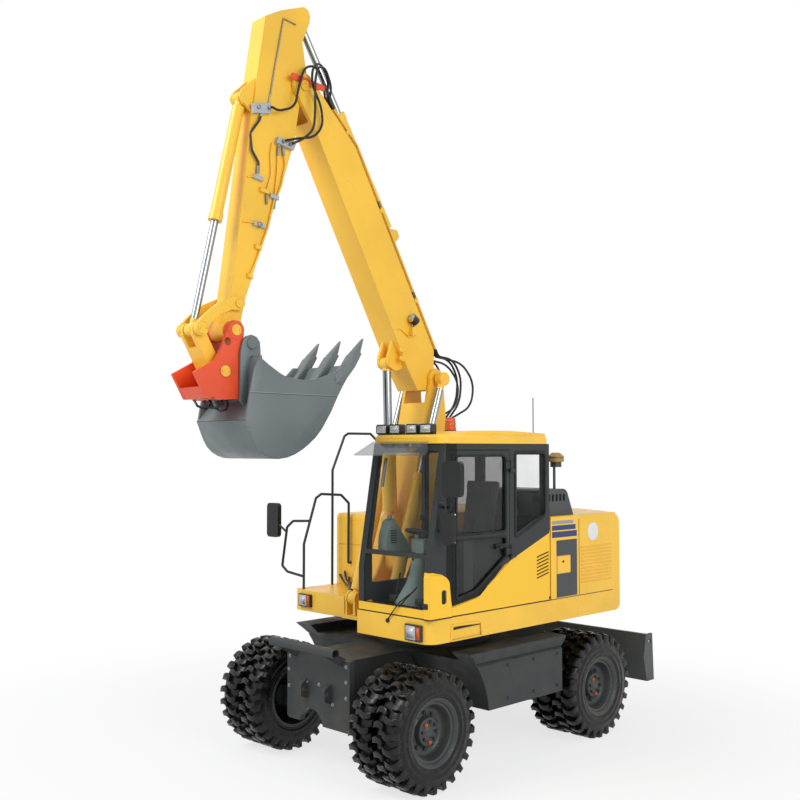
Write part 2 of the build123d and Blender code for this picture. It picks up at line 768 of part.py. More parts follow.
# Cab glass, one pane in each window
mid = glass / 2
panes = [front_band & wind_low, front_band & wind_high]
pane_x = cab_rear + cab_wall / 2
panes.append(rear_window & block((pane_x - mid, pane_x + mid), (cab_right, cab_left), (deck_high, cab_top)))
left_pane = cab_left - cab_wall / 2
panes.append(slab(quarter_window, left_pane - mid, left_pane + mid))
right_pane = cab_right + cab_wall / 2
for window in right_windows:
    panes.append(slab(window, right_pane - mid, right_pane + mid))

# Roof
roof_front = cab_top_front + roof_overhang
roof = plan_slab((
    (cab_rear - roof_overhang, cab_right, 60), (roof_front, cab_right, 60),
    (roof_front, cab_left, 90), (cab_rear - roof_overhang, cab_left, 90)), cab_top, cab_top + roof_height)
roof = chamfer(roof.faces().sort_by(Axis.Z)[-1].edges(), 25)
node("cab_roof", roof)

# Clear visor over the windscreen, folded down at its left end
visor = slab((
    (roof_front, 3096), (1414, 2966), (1410, 2957), (roof_front, 3086)), cab_right + 20, cab_left - 180)
visor += slab(((roof_front, 3092), (1412, 2962), (1235, 2948), (roof_front + 6, 2992)), cab_left - 186, cab_left - 180)
node("cab_glass", panes + [visor])

# Door
leaf_rear = door_rear + door_gap
leaf_front = door_front - door_gap
leaf_low = door_low + door_gap
leaf_high = door_high - door_gap
leaf_rear_low = door_rear_low + 1.5 * door_gap
leaf_knee = (door_knee[0] + 2, door_knee[1] + 1.3 * door_gap)
door = slab((
    (leaf_rear, leaf_rear_low), leaf_knee, (leaf_front, leaf_low), (leaf_front, leaf_high), (leaf_rear, leaf_high)),
    cab_left - cab_wall, cab_left)
door_windows = (
    ((leaf_rear + 50, 2240, 40), (leaf_front - 60, 2240, 40), (leaf_front - 60, leaf_high - 50, 40),
     (leaf_rear + 50, leaf_high - 50, 40)),
    ((leaf_rear + 50, leaf_rear_low + 50, 40), (leaf_knee[0] + 20, leaf_knee[1] + 65, 60),
     (leaf_front - 60, leaf_low + 65, 30), (leaf_front - 60, 2190, 40), (leaf_rear + 50, 2190, 40)),
)
for window in door_windows:
    door -= slab(window, cab_left - cab_wall - 1, cab_left + 1)
for z in hinge_levels:
    lug_low = z - hinge_length / 2
    door += block((door_rear, leaf_rear + 70), (hinge_y - hinge_radius, hinge_y), (lug_low, z + hinge_length / 2))
    door += block((leaf_rear + 20, leaf_rear + 70), (cab_left - 2, hinge_y), (lug_low, z + hinge_length / 2))
    door += Pos(door_rear, hinge_y, z) * Cylinder(hinge_radius, hinge_length)
    door -= Pos(door_rear, hinge_y, z) * Cylinder(hinge_pin + fit_clear, hinge_length + 2)
node("door", door)
node("door_glass", [slab(window, left_pane - mid, left_pane + mid) for window in door_windows])

# Seat and controls
seat_y = 760
seat = slab((
    (140, 2010), (620, 2030, 50), (620, 2130, 40), (250, 2110, 30), (120, 2780, 50), (10, 2780, 50)),
    seat_y - 240, seat_y + 240)
node("seat", seat)
cab_inside = deck_high + cab_floor
station = block((120, 560), (seat_y - 200, seat_y + 200), (cab_inside, 2009.7))
for side in (-1, 1):
    y = seat_y + side * 320
    station += block((100, 640), (y - 60, y + 60), (cab_inside, 2190))
    station += bar((560, y, 2180), (585, y, 2330), 14)
    station += Pos(588, y, 2345) * Sphere(32)
column_foot = (1060, seat_y, cab_inside + 20)
station += block((1000, 1120), (seat_y - 60, seat_y + 60), (cab_inside, cab_inside + 60))
column_top = (900, seat_y, 2230)
station += bar(column_foot, column_top, 55)
wheel_plane = Plane(origin=column_top, z_dir=Vector(*column_top) - Vector(*column_foot))
station += wheel_plane * Torus(170, 14)
station += wheel_plane * Box(330, 30, 16)
node("operator_station", station.solids())

# Boom: the lower part with its ears, the upper part with its fork
lower_back = ((240, 1850), (0, 2450), (-60, 2600), (-94, 3217))
upper_back = ((60, 4050), (1177, 5982), (1745, 6522))
lower_boom = boom_slab((
    *lower_back, (-45, 3690), (60, 3745), (165, 3700), (270, 3230),
    (400, 2600), (472, 2300), (458, 1850)), lower_boom_half)
lower_boom += boom_pin(foot_pin, lower_boom_half, 110)
lower_boom += boom_pin(mid_pin, lower_boom_half, 108)
lower_boom -= boom_pin(mid_pin, lower_boom_slot, 288)
lower_boom -= boom_pin(foot_pin, lower_boom_half + 1, pin_radius + fit_clear)
lower_boom += boom_pin(mid_pin, lower_boom_half + side_clear, pin_radius)
lower_boom += boom_plates((
    (425, 2170), (570, 2235, 40), (622, 2300, 40), (570, 2362, 40), (450, 2385), (380, 2300)), lug_in, lug_out)
lower_boom += boom_pin(adjust_low_pin, lug_out, pin_radius)
node("lower_boom", lower_boom)

upper_boom = boom_slab((
    (60, 3860), *upper_back, (1830, 6430), (1935, 6365), (1656, 5984), (449, 3840),
    (300, 3620), (100, 3640)), upper_boom_half)
upper_boom += boom_pin(mid_pin, upper_boom_half, 120)
upper_boom += boom_pin(arm_pin, upper_boom_half, 125)
upper_boom -= boom_pin(arm_pin, fork_half, 330)
upper_boom -= boom_pin(mid_pin, upper_boom_half + 1, pin_radius + fit_clear)
upper_boom += boom_pin(arm_pin, upper_boom_half + 10, pin_radius)
upper_boom += boom_plates((
    (440, 3850), (560, 3810), (668, 3860, 40), (668, 3950, 40), (600, 4130), (520, 4060)), lug_in, lug_out)
upper_boom += boom_plates((
    (680, 5060), (560, 5140, 30), (505, 5195, 30), (545, 5275, 30), (625, 5245), (780, 5350)), lug_in, lug_out)
upper_boom += boom_pin(arm_cylinder_pin, lug_out, pin_radius)
node("upper_boom", upper_boom)

for name, base, eye, size, half in (
    ("adjust_cylinder", adjust_low_pin, adjust_high_pin, adjust_cylinder, eye_half),
    ("arm_cylinder", arm_cylinder_pin, tail_pin, arm_cylinder, eye_half),
    ("bucket_cylinder", bucket_cylinder_pin, linkage_pin, bucket_cylinder, eye_half),
):
    barrel, rod = ram(base, eye, boom_y, size, pin_radius, half)
    node(name + "_barrel", barrel)
    node(name + "_rod", rod)
boom_barrels = []
boom_rods = []
for side in (-1, 1):
    barrel, rod = ram(
        boom_cylinder_pin, mid_pin, boom_y + side * boom_cylinder_y, boom_cylinder, pin_radius, boom_eye_half)
    boom_barrels.append(barrel)
    boom_rods.append(rod)
node("boom_cylinder_barrels", boom_barrels)
node("boom_cylinder_rods", boom_rods)

# Arm
arm = boom_slab((
    (1725, 7140), (1750, 7190), (1800, 7208), (2070, 7095), (2254, 6987), (2309, 6645), (2350, 6391),
    (2378, 6150), (2500, 5240), (2620, 4360), (2700, 4080), (2613, 3990), (2530, 4040), (2465, 4340),
    (2260, 4910), (2010, 5590), (1910, 5900), (1850, 6250), (1730, 6400), (1790, 6690), (1820, 6860),
    (1735, 7070)), arm_half)
arm += boom_pin(arm_pin, arm_half, 115)
arm += boom_pin(tip_pin, arm_half, 90)
arm -= boom_pin(tail_pin, lug_in, 178)
arm -= boom_pin(arm_pin, arm_half + 1, pin_radius + fit_clear)
arm -= boom_pin(tip_pin, arm_half + 1, pin_radius + fit_clear)
arm += boom_plates((
    (2335, 6400), (2490, 6255, 30), (2525, 6190, 30), (2480, 6125, 30), (2365, 6060), (2330, 6200)), lug_in, lug_out)
arm += boom_pin(bucket_cylinder_pin, lug_out, pin_radius)
arm += boom_pin(lever_pin, lever_out + 12, pin_radius)
node("arm", arm)

# Steel pipes clamped along the upper boom's back, its work lamp, and the lock bar on the arm's pin
upper_left = boom_y + upper_boom_half
low_run = (upper_back[0], upper_back[1])
high_run = (upper_back[1], upper_back[2])
upper_start = beside(*low_run, 0, pipe_stand)
upper_knee = corner_beside(*upper_back, pipe_stand)
upper_end = beside(*high_run, 422, pipe_stand)
fittings = []
for right, left, rows in ((84, 153, boom_pipe_rows[:3]), (-135, -91, boom_pipe_rows[3:])):
    group = clamp(*low_run, 570, right, left) + clamp(*low_run, 1560, right, left) + clamp(*high_run, 160, right, left)
    for offset_y in rows:
        y = boom_y + offset_y
        group += tube_run((
            (upper_start[0], y, upper_start[1]), (upper_knee[0], y, upper_knee[1]), (upper_end[0], y, upper_end[1])),
            pipe_radius, 150)
    fittings.append(group)
work_lamp = block((372, 432), (upper_left, upper_left + 52), (4180, 4262))
work_lamp += bar((400, upper_left + 40, 4240), (400, upper_left + 40, 4330), 11)
work_lamp += bar((372, upper_left + 48, 4322), (440, upper_left + 48, 4362), 46)
fittings.append(work_lamp)
fittings.append(slab((
    (1600, 6425, 12), (2012, 6455, 12), (1990, 6512, 12), (1590, 6485, 12)), upper_left + 10, upper_left + 19))
node("boom_fittings", fittings)

# Pipes down the lower boom's back
lower_pipes = []
foot_run = (lower_back[0], lower_back[1])
back_run = (lower_back[2], lower_back[3])
lower_start = beside(*back_run, 560, pipe_stand)
lower_bend = beside(*back_run, -12, pipe_stand)
foot_bend = beside(*foot_run, 628, pipe_stand)
lower_end = beside(*foot_run, 160, pipe_stand)
for right, left, rows in ((84, 153, boom_pipe_rows[:3]), (-135, -91, boom_pipe_rows[3:])):
    group = clamp(*back_run, 290, right, left) + clamp(*foot_run, 420, right, left)
    for offset_y in rows:
        y = boom_y + offset_y
        group += tube_run((
            (lower_start[0], y, lower_start[1]), (lower_bend[0], y, lower_bend[1]), (foot_bend[0], y, foot_bend[1]),
            (lower_end[0], y, lower_end[1])), pipe_radius, 120)
    lower_pipes.append(group)
node("lower_boom_pipes", lower_pipes)

# Hoses from the lower boom's pipes round the middle pin, a short and a long loop in turn
upper_exit = beside(*low_run, -85, pipe_stand)
lower_exit = beside(*back_run, 700, pipe_stand)
hose_loops = (
    ((-240, 3975), (-372, 3790), (-350, 3520)),
    ((-420, 3945), (-610, 3740), (-560, 3480)),
)
middle_hoses = []
for index, offset_y in enumerate(boom_pipe_rows):
    route = (upper_start, upper_exit, *hose_loops[index % 2], lower_exit, lower_start)
    middle_hoses.append(hose_run([(x, boom_y + offset_y, z) for x, z in route], hose_radius))
node("middle_hoses", middle_hoses)

# Hoses from the lower boom's pipes down into the bay's floor
foot_exit = beside(*foot_run, 50, pipe_stand)
foot_hoses = []
for offset_y in boom_pipe_rows:
    route = (lower_end, foot_exit, (70, 1660), (-190, 1640), (-190, floor))
    foot_hoses.append(hose_run([(x, boom_y + offset_y, z) for x, z in route], hose_radius))
node("foot_hoses", foot_hoses)

# Valve blocks, clamps, pipes and one hose on the arm's left face
arm_left = boom_y + arm_half
block_left = arm_left + 44
arm_lines = slab(((2215, 6075), (2405, 6040), (2418, 6125), (2225, 6172)), arm_left, block_left)
arm_lines += slab(((1925, 5858), (1950, 5792), (2150, 5822), (2130, 5880)), arm_left, block_left)
# x, z, half length
arm_clamps = (
    (2340, 5462, 55), (2270, 5355, 48), (2160, 5320, 48), (2325, 5034, 66), (2335, 4830, 32), (2425, 4560, 26))
for x, z, reach in arm_clamps:
    arm_lines += slab((
        (x - reach, z - 24), (x + reach, z - 10), (x + reach, z + 26), (x - reach, z + 12)), arm_left, arm_left + 32)
line_y = arm_left + 18
for rows in (
    ((2110, 5830), (2122, 5560), (2150, 5320)), ((2060, 5830), (2030, 5640), (2076, 5440), (2130, 5320)),
    ((2150, 5320), (2224, 5036), (2365, 4679), (2425, 4560)),
):
    arm_lines += tube_run([(x, line_y, z) for x, z in rows], pipe_radius, 60)
arm_lines += tube_run((
    (2300, line_y, 6080), (2340, 78, 5985), (2440, 78, 5850), (2420, 78, 5700), (2340, 74, 5600),
    (2350, line_y, 5462)), hose_radius, 50)
node("arm_pipes", arm_lines.solids())

# Hoses from the arm's blocks, looped out over its pin and down to the boom's pipes
high_exit = beside(*high_run, 510, pipe_stand)
arm_hose_rows = (
    ((2245, 6120), ((2150, 120, 6110), (1975, 138, 6180), (1930, 140, 6400), (1860, 134, 6590), (1700, 96, 6655),
                    (1560, 42, 6600))),
    ((2080, 5846), ((1930, 124, 5900), (1740, 140, 5950), (1640, 142, 6080), (1662, 148, 6250), (1800, 168, 6440),
                    (1785, 160, 6600), (1650, 110, 6700), (1510, 68, 6590))),
    ((2000, 5835), ((1900, 160, 5890), (1800, 196, 5990), (1786, 203, 6140), (1788, 203, 6480), (1730, 180, 6620),
                    (1600, 130, 6650), (1490, 94, 6500))),
)
arm_hoses = []
for offset_y, (start, rows) in zip(boom_pipe_rows, arm_hose_rows):
    y = boom_y + offset_y
    route = [(start[0], block_left, start[1]), (start[0], block_left + 42, start[1]), *rows]
    route += [(high_exit[0], y, high_exit[1]), (upper_end[0], y, upper_end[1])]
    arm_hoses.append(hose_run(route, hose_radius))
node("arm_hoses", arm_hoses)

# Lever, link and coupler
lever = boom_plates((
    (2490, 4300), (2520, 4358), (2600, 4362), (2760, 4290), (2900, 4180), (2998, 4085), (3005, 4030),
    (2950, 3986), (2895, 4000), (2860, 4090), (2760, 4180), (2640, 4235), (2530, 4240)), lever_in, lever_out)
lever += boom_stubs(linkage_pin, lever_in, lever_out + 15, 60)
lever += boom_stubs(linkage_pin, link_slot, lever_out, pin_radius)
lever -= boom_pin(lever_pin, lever_out + 1, pin_radius + fit_clear)
node("lever", lever)
link = boom_slab((
    (2900, 4090), (2990, 4085), (3000, 4000), (2800, 3650), (2726, 3632), (2672, 3680), (2880, 4040)), link_half)
link += boom_pin(linkage_pin, link_half, 62)
link += boom_pin(coupler_pin, link_half, 58)
link -= boom_pin(linkage_pin, link_slot, 150)
link -= boom_pin(linkage_pin, link_half + 1, pin_radius + fit_clear)
node("link", link)
coupler = boom_plates((
    (2530, 4056), (2560, 4130), (2640, 4140), (2690, 4085), (2760, 3900), (2830, 3780), (3042, 3666),
    (2915, 3450), (2777, 3440), (2525, 3456), (2540, 3750)), coupler_in, coupler_out)
coupler += boom_slab((
    (2535, 3456), (2780, 3440), (2912, 3450), (2970, 3545), (2880, 3560), (2560, 3540)), coupler_in)
coupler += boom_stubs(tip_pin, lever_in, coupler_cap, 82)
coupler += boom_stubs(coupler_pin, lever_in, coupler_cap, 58)
coupler += boom_pin(tip_pin, coupler_out, pin_radius)
for place in (bucket_pin_high, bucket_pin_low):
    coupler -= boom_pin(place, coupler_out + 1, bucket_pin_radius + fit_clear)
node("coupler", coupler)

# Bucket: side plates, curved wall, ears and teeth
lip = (1409, 3807)
bottom = (2294, 2930)
heel = (2641, 3273)
back_low = (2500, 3430)
back_top = (2485, 3815)
plate_back = ((2590, 3510), (2560, 3790))
wall_arc = ThreePointArc(lip, (1800, 3230), bottom)
heel_arc = ThreePointArc(bottom, (2512, 3035), heel)
back_wall = [Line(heel, back_low), Line(back_low, back_top)]
shell_face = make_face([wall_arc, heel_arc, *back_wall, Line(back_top, lip)])
mouth = ThreePointArc((2233, 3706), (1950, 3640), (1671, 3718))
side_face = make_face([
    wall_arc, heel_arc, Line(heel, plate_back[0]), Line(plate_back[0], plate_back[1]),
    Line(plate_back[1], (2465, 3845)), Line((2465, 3845), (2233, 3706)),
    mouth, Line((1671, 3718), (1535, 3809)), Line((1535, 3809), lip)])
lip_high = (1330, 3990)
back_high = (2470, 4100)
cavity_face = offset(make_face([
    wall_arc, heel_arc, *back_wall, Line(back_top, back_high), Line(back_high, lip_high),
    Line(lip_high, lip)]), -bucket_wall)
bucket_left = boom_y + bucket_half_width
full_width = 2 * bucket_half_width
bucket = extrude(side_plane(bucket_left) * shell_face, amount=full_width, dir=(0, -1, 0))
bucket -= extrude(side_plane(bucket_left + 1) * cavity_face, amount=full_width + 2, dir=(0, -1, 0))
side_wall = extrude(side_plane(bucket_left) * side_face, amount=bucket_side, dir=(0, -1, 0))
bucket += side_wall
bucket += Pos(0, bucket_side - full_width, 0) * side_wall
bucket += boom_plates((
    (2470, 3700), (2625, 3930, 40), (2700, 4010, 55), (2765, 3950, 40), (2735, 3800), (2910, 3430, 40),
    (2850, 3365, 40), (2640, 3290), (2480, 3430)), bucket_ear_in, bucket_ear_out)
for place in (bucket_pin_high, bucket_pin_low):
    bucket += boom_stubs(place, coupler_in + 1, bucket_ear_out + 10, bucket_pin_radius)
for index in (-1, 0, 1):
    y = boom_y + index * tooth_spacing
    bucket += slab((
        (1520, 3640), (1560, 3600), (1450, 3830), (1380, 3950), (1243, 4075), (1310, 3930), (1400, 3790)),
        y - tooth_half, y + tooth_half)
node("bucket", bucket)

# Handrails on the right deck, and the grab handle beside the door
outer_y = outer_rail_inset - body_half_width
inner_y = inner_rail_inset - body_half_width
rail_foot = right_deck_front - 67
outer_rail = tube_run((
    (tank_front + 104, outer_y, deck_high), (tank_front + 104, outer_y, deck_high + 1267),
    (tank_front - 74, outer_y, deck_high + 1648), (tank_front - 130, outer_y, deck_high + 1677),
    (bay_rear + 174, outer_y, deck_high + 1677), (bay_rear + 80, outer_y, deck_high + 1605),
    (bay_rear + 80, outer_y, tank_high)), rail_radius, 20)
inner_rail = tube_run((
    (rail_foot, inner_y, deck_high), (rail_foot, inner_y, deck_high + 478),
    (rail_foot - 167, inner_y, deck_high + 967), (rail_foot - 243, inner_y, deck_high + 1009),
    (tank_front + 100, inner_y + 90, deck_high + 995), (tank_front + 35, inner_y + 144, deck_high + 905),
    (tank_front + 35, inner_y + 140, deck_high + 249), (tank_front, inner_y + 140, deck_high + 249)), rail_radius, 15)
handle = tube_run((
    (1210, cab_left, 2540), (1185, cab_left + 55, 2540), (1185, cab_left + 55, 2290), (1210, cab_left, 2290)), 11, 20)
handle -= slab(cab_outer, cab_right, cab_left)
node("handrails", outer_rail, inner_rail, handle)

# Mirrors on their arms, the right one on the inner rail
arm_root = inner_y - rail_radius - 1
right_mirror_arm = tube_run((
    (rail_foot - 83, arm_root, deck_high + 722), (rail_foot - 81, arm_root - 270, deck_high + 708),
    (rail_foot - 71, arm_root - 364, deck_high + 637), (rail_foot - 12, arm_root - 371, deck_high + 217),
    (rail_foot - 4, arm_root - 272, deck_high + 160), (rail_foot, arm_root, deck_high + 133)), rail_radius, 25)
mirror_rear = rail_foot - 93


def mirror_head(rear, right, left, low, high, corner):
    """A mirror's housing with round corners, facing the rear."""
    rows = ((right, low, corner), (left, low, corner), (left, high, corner), (right, high, corner))
    return front_slab(rows, rear, rear + mirror_thickness)


right_mirror = mirror_head(
    mirror_rear, arm_root - 695, arm_root - 495, deck_high + 515, deck_high + 895, 45)
right_mirror += bar((mirror_rear + 30, arm_root - 515, deck_high + 665), (
    mirror_rear + 29, arm_root - 365, deck_high + 585), 12)
left_mirror = mirror_head(1225, cab_left + 90, cab_left + 310, 2600, 2910, 45)
left_mirror += mirror_head(1200, cab_left + 52, cab_left + 192, 2180, 2465, 60)
left_mirror += tube_run((
    (1160, cab_left, 2500), (1160, cab_left + 70, 2500), (1250, cab_left + 200, 2560), (1250, cab_left + 200, 2700)), 12, 15)
left_mirror += bar((1225, cab_left + 130, 2440), (1240, cab_left + 185, 2570), 11)
node("mirrors", right_mirror_arm + right_mirror, left_mirror)

# Lamps, beacon and antenna
lamp_x = 1075
lamp_foot = cab_top + roof_height + 8
lamps = [block((lamp_x - 20, lamp_x + 20), (cab_right + 10, 1060), (cab_top + roof_height, cab_top + roof_height + 14))]
for y in (400, 580, 800, 980):
    lens = ((y - roof_lamp_half, lamp_foot, 22), (y + roof_lamp_half, lamp_foot, 22),
            (y + roof_lamp_half, lamp_foot + roof_lamp_high, 22), (y - roof_lamp_half, lamp_foot + roof_lamp_high, 22))
    lamps[0] += front_slab(lens, lamp_x - 30, lamp_x - 30 + roof_lamp_depth)
roof_top = cab_top + roof_height
beacon = Pos(380, 620, roof_top + 25) * Cylinder(60, 50)
beacon += Pos(380, 620, roof_top + 110) * Cylinder(50, 120)
lamps.append(beacon)
lamps.append(Pos(-300, 1120, roof_top + 190) * Cylinder(5, 380))
lamps.append(block((cab_front, cab_front + 30), (956, 1150), (1322, 1466)))
lamps.append(block((right_deck_front, right_deck_front + 30), (-1120, -930), (1350, 1480)))
node("lamps", lamps)

# Everything shifts so that the origin is the middle of the machine on the ground
every = [solid for solids in parts.values() for solid in solids]
extent = Compound(every).bounding_box()
shift = Pos(-(extent.min.X + extent.max.X) / 2, -(extent.min.Y + extent.max.Y) / 2, -extent.min.Z)
os.makedirs("parts", exist_ok=True)
for name, solids in parts.items():
    moved = [shift * solid for solid in solids]
    shape = moved[0] if len(moved) == 1 else Compound(moved)
    export_step(shape, "parts/" + name + ".step")
print("shift", [round(v, 2) for v in shift.position])
print("nodes", len(parts), "solids", len(every))
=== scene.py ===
# %% [markdown]
# # Dressing a wheeled excavator
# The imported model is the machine's frame: every piece here sits on it, in metres, and rides on one of its bodies.
# This lesson starts with the camera and the light, goes on to the finishes, and then models the pieces that carry
# the look: tyres, rims, bolts, the seat, lamps, mirrors, the bucket, pipes and hoses.

# %% Load the frame
import math
from functools import reduce
import bmesh
import bpy
from mathutils import Matrix, Vector


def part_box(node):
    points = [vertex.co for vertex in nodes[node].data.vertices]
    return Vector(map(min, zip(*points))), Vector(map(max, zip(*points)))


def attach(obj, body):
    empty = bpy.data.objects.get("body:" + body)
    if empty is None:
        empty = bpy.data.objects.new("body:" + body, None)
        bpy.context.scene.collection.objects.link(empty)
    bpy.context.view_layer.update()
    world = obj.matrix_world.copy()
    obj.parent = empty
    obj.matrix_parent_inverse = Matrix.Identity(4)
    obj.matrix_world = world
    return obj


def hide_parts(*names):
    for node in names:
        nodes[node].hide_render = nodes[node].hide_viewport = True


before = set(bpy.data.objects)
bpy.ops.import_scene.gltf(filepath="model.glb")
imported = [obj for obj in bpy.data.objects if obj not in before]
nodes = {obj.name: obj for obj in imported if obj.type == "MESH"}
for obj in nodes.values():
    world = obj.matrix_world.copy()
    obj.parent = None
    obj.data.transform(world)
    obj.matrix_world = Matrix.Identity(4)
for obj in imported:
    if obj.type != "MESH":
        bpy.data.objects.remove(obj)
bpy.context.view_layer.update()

# %% [markdown]
# Sizes are easiest to read from the slewing axis, because the machine was drawn round it. The slew ring's box gives
# that axis, and `at` turns a place measured from it into a place in the frame.

# %% Places measured from the slewing axis
ring_low, ring_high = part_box("slew_ring")
slew_axis = Vector(((ring_low.x + ring_high.x) / 2, (ring_low.y + ring_high.y) / 2, 0))


def at(x, y, z):
    """A place in metres: x forward and y left of the slewing axis, z above the ground."""
    return slew_axis + Vector((x, y, z))


print("slewing axis", [round(v, 4) for v in slew_axis])

# %% [markdown]
# The camera stands where the photographer stood: in front of the machine, on the cab's side, a little above the
# deck and looking slightly up. A 46 mm lens gives the perspective of the two near wheels.

# %% Camera
camera = bpy.data.objects.new("camera", bpy.data.cameras.new("camera"))
bpy.context.scene.collection.objects.link(camera)
bpy.context.scene.camera = camera
camera.data.sensor_width = 36
camera.data.lens = 46.04
camera.data.clip_end = 200
camera.location = at(7.873, 7.443, 3.021)
yaw, pitch = math.radians(45.139), math.radians(2.721)
look = Vector((-math.cos(yaw) * math.cos(pitch), -math.sin(yaw) * math.cos(pitch), math.sin(pitch)))
camera.rotation_euler = look.to_track_quat("-Z", "Y").to_euler()
print("camera at", [round(v, 3) for v in camera.location])

# %% [markdown]
# A material is a small graph of nodes. One helper adds a node, sets it and wires its inputs, so each finish below
# reads as a short list of what the real surface is made of.

# %% Node helpers


def feed(tree, node, inputs):
    """Set a node's inputs: each is either a value or another node's output."""
    for key, value in inputs.items():
        socket = node.inputs[key]
        if isinstance(value, bpy.types.NodeSocket):
            tree.links.new(value, socket)
        else:
            socket.default_value = value


def wire(tree, kind, settings, inputs):
    """Add one node to a material, with its settings and inputs."""
    made = tree.nodes.new("ShaderNode" + kind)
    for key, value in settings.items():
        setattr(made, key, value)
    feed(tree, made, inputs)
    return made


def blank(name):
    """A new material with its shader, and the place of each point on the machine."""
    made = bpy.data.materials.new(name)
    made.use_nodes = True
    tree = made.node_tree
    place = wire(tree, "TexCoord", {}, {}).outputs["Object"]
    return made, tree, tree.nodes["Principled BSDF"], place


def maths(tree, operation, first, second=0.0):
    """Reckon with two values."""
    return wire(tree, "Math", {"operation": operation}, {0: first, 1: second}).outputs[0]


def more(tree, value, limit):
    """One where a value is above a limit, nought elsewhere."""
    return maths(tree, "GREATER_THAN", value, limit)


def less(tree, value, limit):
    """One where a value is below a limit, nought elsewhere."""
    return maths(tree, "LESS_THAN", value, limit)


def times(tree, *shares):
    """The product of shares: one only where all of them are."""
    return reduce(lambda first, second: maths(tree, "MULTIPLY", first, second), shares)


def either(tree, *shares):
    """The largest of some shares: one where any of them is."""
    return reduce(lambda first, second: maths(tree, "MAXIMUM", first, second), shares)


def blend(tree, share, first, second):
    """From the first colour to the second, by a share."""
    made = wire(tree, "Mix", {"data_type": "RGBA"}, {0: share, 6: first, 7: second})
    return made.outputs[2]


def fade(tree, value, low, high, start=0.0, end=1.0, shape="SMOOTHSTEP"):
    """Spread a value between two limits onto a scale, smoothly unless the shape is LINEAR."""
    names = {"Value": value, "From Min": low, "From Max": high, "To Min": start, "To Max": end}
    return wire(tree, "MapRange", {"interpolation_type": shape}, names).outputs[0]


def cloud(tree, place, scale, detail=3.0):
    """Soft noise; a larger scale gives smaller clouds."""
    return wire(tree, "TexNoise", {}, {"Vector": place, "Scale": scale, "Detail": detail}).outputs[0]


def bumps(tree, height, strength, distance, under=None):
    """A relief from a height, laid over another relief or rounding where one is given."""
    inputs = {"Strength": strength, "Distance": distance, "Height": height}
    if under is not None:
        inputs["Normal"] = under
    return wire(tree, "Bump", {}, inputs).outputs[0]


# %% [markdown]
# The floor is a pale sheet that only keeps the machine's soft shadow. Camera and glossy rays see it almost white,
# so the light on the machine stays plain and the background is white without more light.

# %% Floor and backdrop
bpy.ops.object.select_all(action="DESELECT")
bpy.ops.mesh.primitive_plane_add(size=90, location=(0, 0, -0.002))
floor = bpy.context.object
floor.name = "floor"
floor_finish, tree, shader, place = blank("floor")
feed(tree, shader, {"Base Color": (0.82, 0.82, 0.82, 1), "Roughness": 1.0})
rays = wire(tree, "LightPath", {}, {})
seen = either(tree, rays.outputs["Is Camera Ray"], rays.outputs["Is Glossy Ray"])
white = wire(tree, "Emission", {}, {"Color": (1, 1, 1, 1), "Strength": 1.0})
away = wire(tree, "VectorMath", {"operation": "LENGTH"}, {0: place}).outputs["Value"]
share = times(tree, seen, fade(tree, away, 2.5, 7.0, 0.74, 1.0))
both = wire(tree, "MixShader", {}, {0: share, 1: shader.outputs[0], 2: white.outputs[0]})
tree.links.new(both.outputs[0], tree.nodes["Material Output"].inputs[0])
floor.data.materials.append(floor_finish)
print("floor", floor.dimensions.x, "m wide")

# %% [markdown]
# A faintly blue sky fills the shadows. Rays from the camera see it white, and so do rays through glass and off gloss.
# Two wide lamps, one ahead and one beside the cab, give the soft light of a bright day.

# %% World and lamps
world = bpy.data.worlds.new("studio")
bpy.context.scene.world = world
world.use_nodes = True
sky = world.node_tree
background = sky.nodes["Background"]
feed(sky, background, {"Color": (0.93, 0.96, 1.0, 1), "Strength": 0.52})
rays = wire(sky, "LightPath", {}, {})
seen = either(sky, *(rays.outputs[f"Is {kind} Ray"] for kind in ("Camera", "Transmission", "Glossy")))
pure = wire(sky, "Background", {}, {"Color": (1, 1, 1, 1), "Strength": 1.0})
both = wire(sky, "MixShader", {}, {0: seen, 1: background.outputs[0], 2: pure.outputs[0]})
sky.links.new(both.outputs[0], sky.nodes["World Output"].inputs[0])
# name, place, size in metres, power in watts
lamps = (
    ("key_lamp", at(10.0, -3.0, 11.0), 6.0, 980),
    ("cab_side_lamp", at(2.5, 12.0, 7.0), 7.0, 690),
)
aim_height = 2.2
for name, spot, size, power in lamps:
    lamp = bpy.data.objects.new(name, bpy.data.lights.new(name, "AREA"))
    lamp.data.size = size
    lamp.data.energy = power
    lamp.location = spot
    lamp.rotation_euler = (at(0, 0, aim_height) - spot).to_track_quat("-Z", "Y").to_euler()
    bpy.context.scene.collection.objects.link(lamp)
bpy.context.scene.view_settings.view_transform = "Standard"
print("lamps", len(lamps))

# %% [markdown]
# Paint on a working machine is never one colour. Each painted finish has three layers: a tone that drifts slowly
# over the plates, dust that thickens towards the ground and in clouds, and brighter worn edges where hands, boots
# and stones rub. The Bevel node also rounds the light on sharp plate edges, as rolled and painted edges do.

# %% Painted finishes


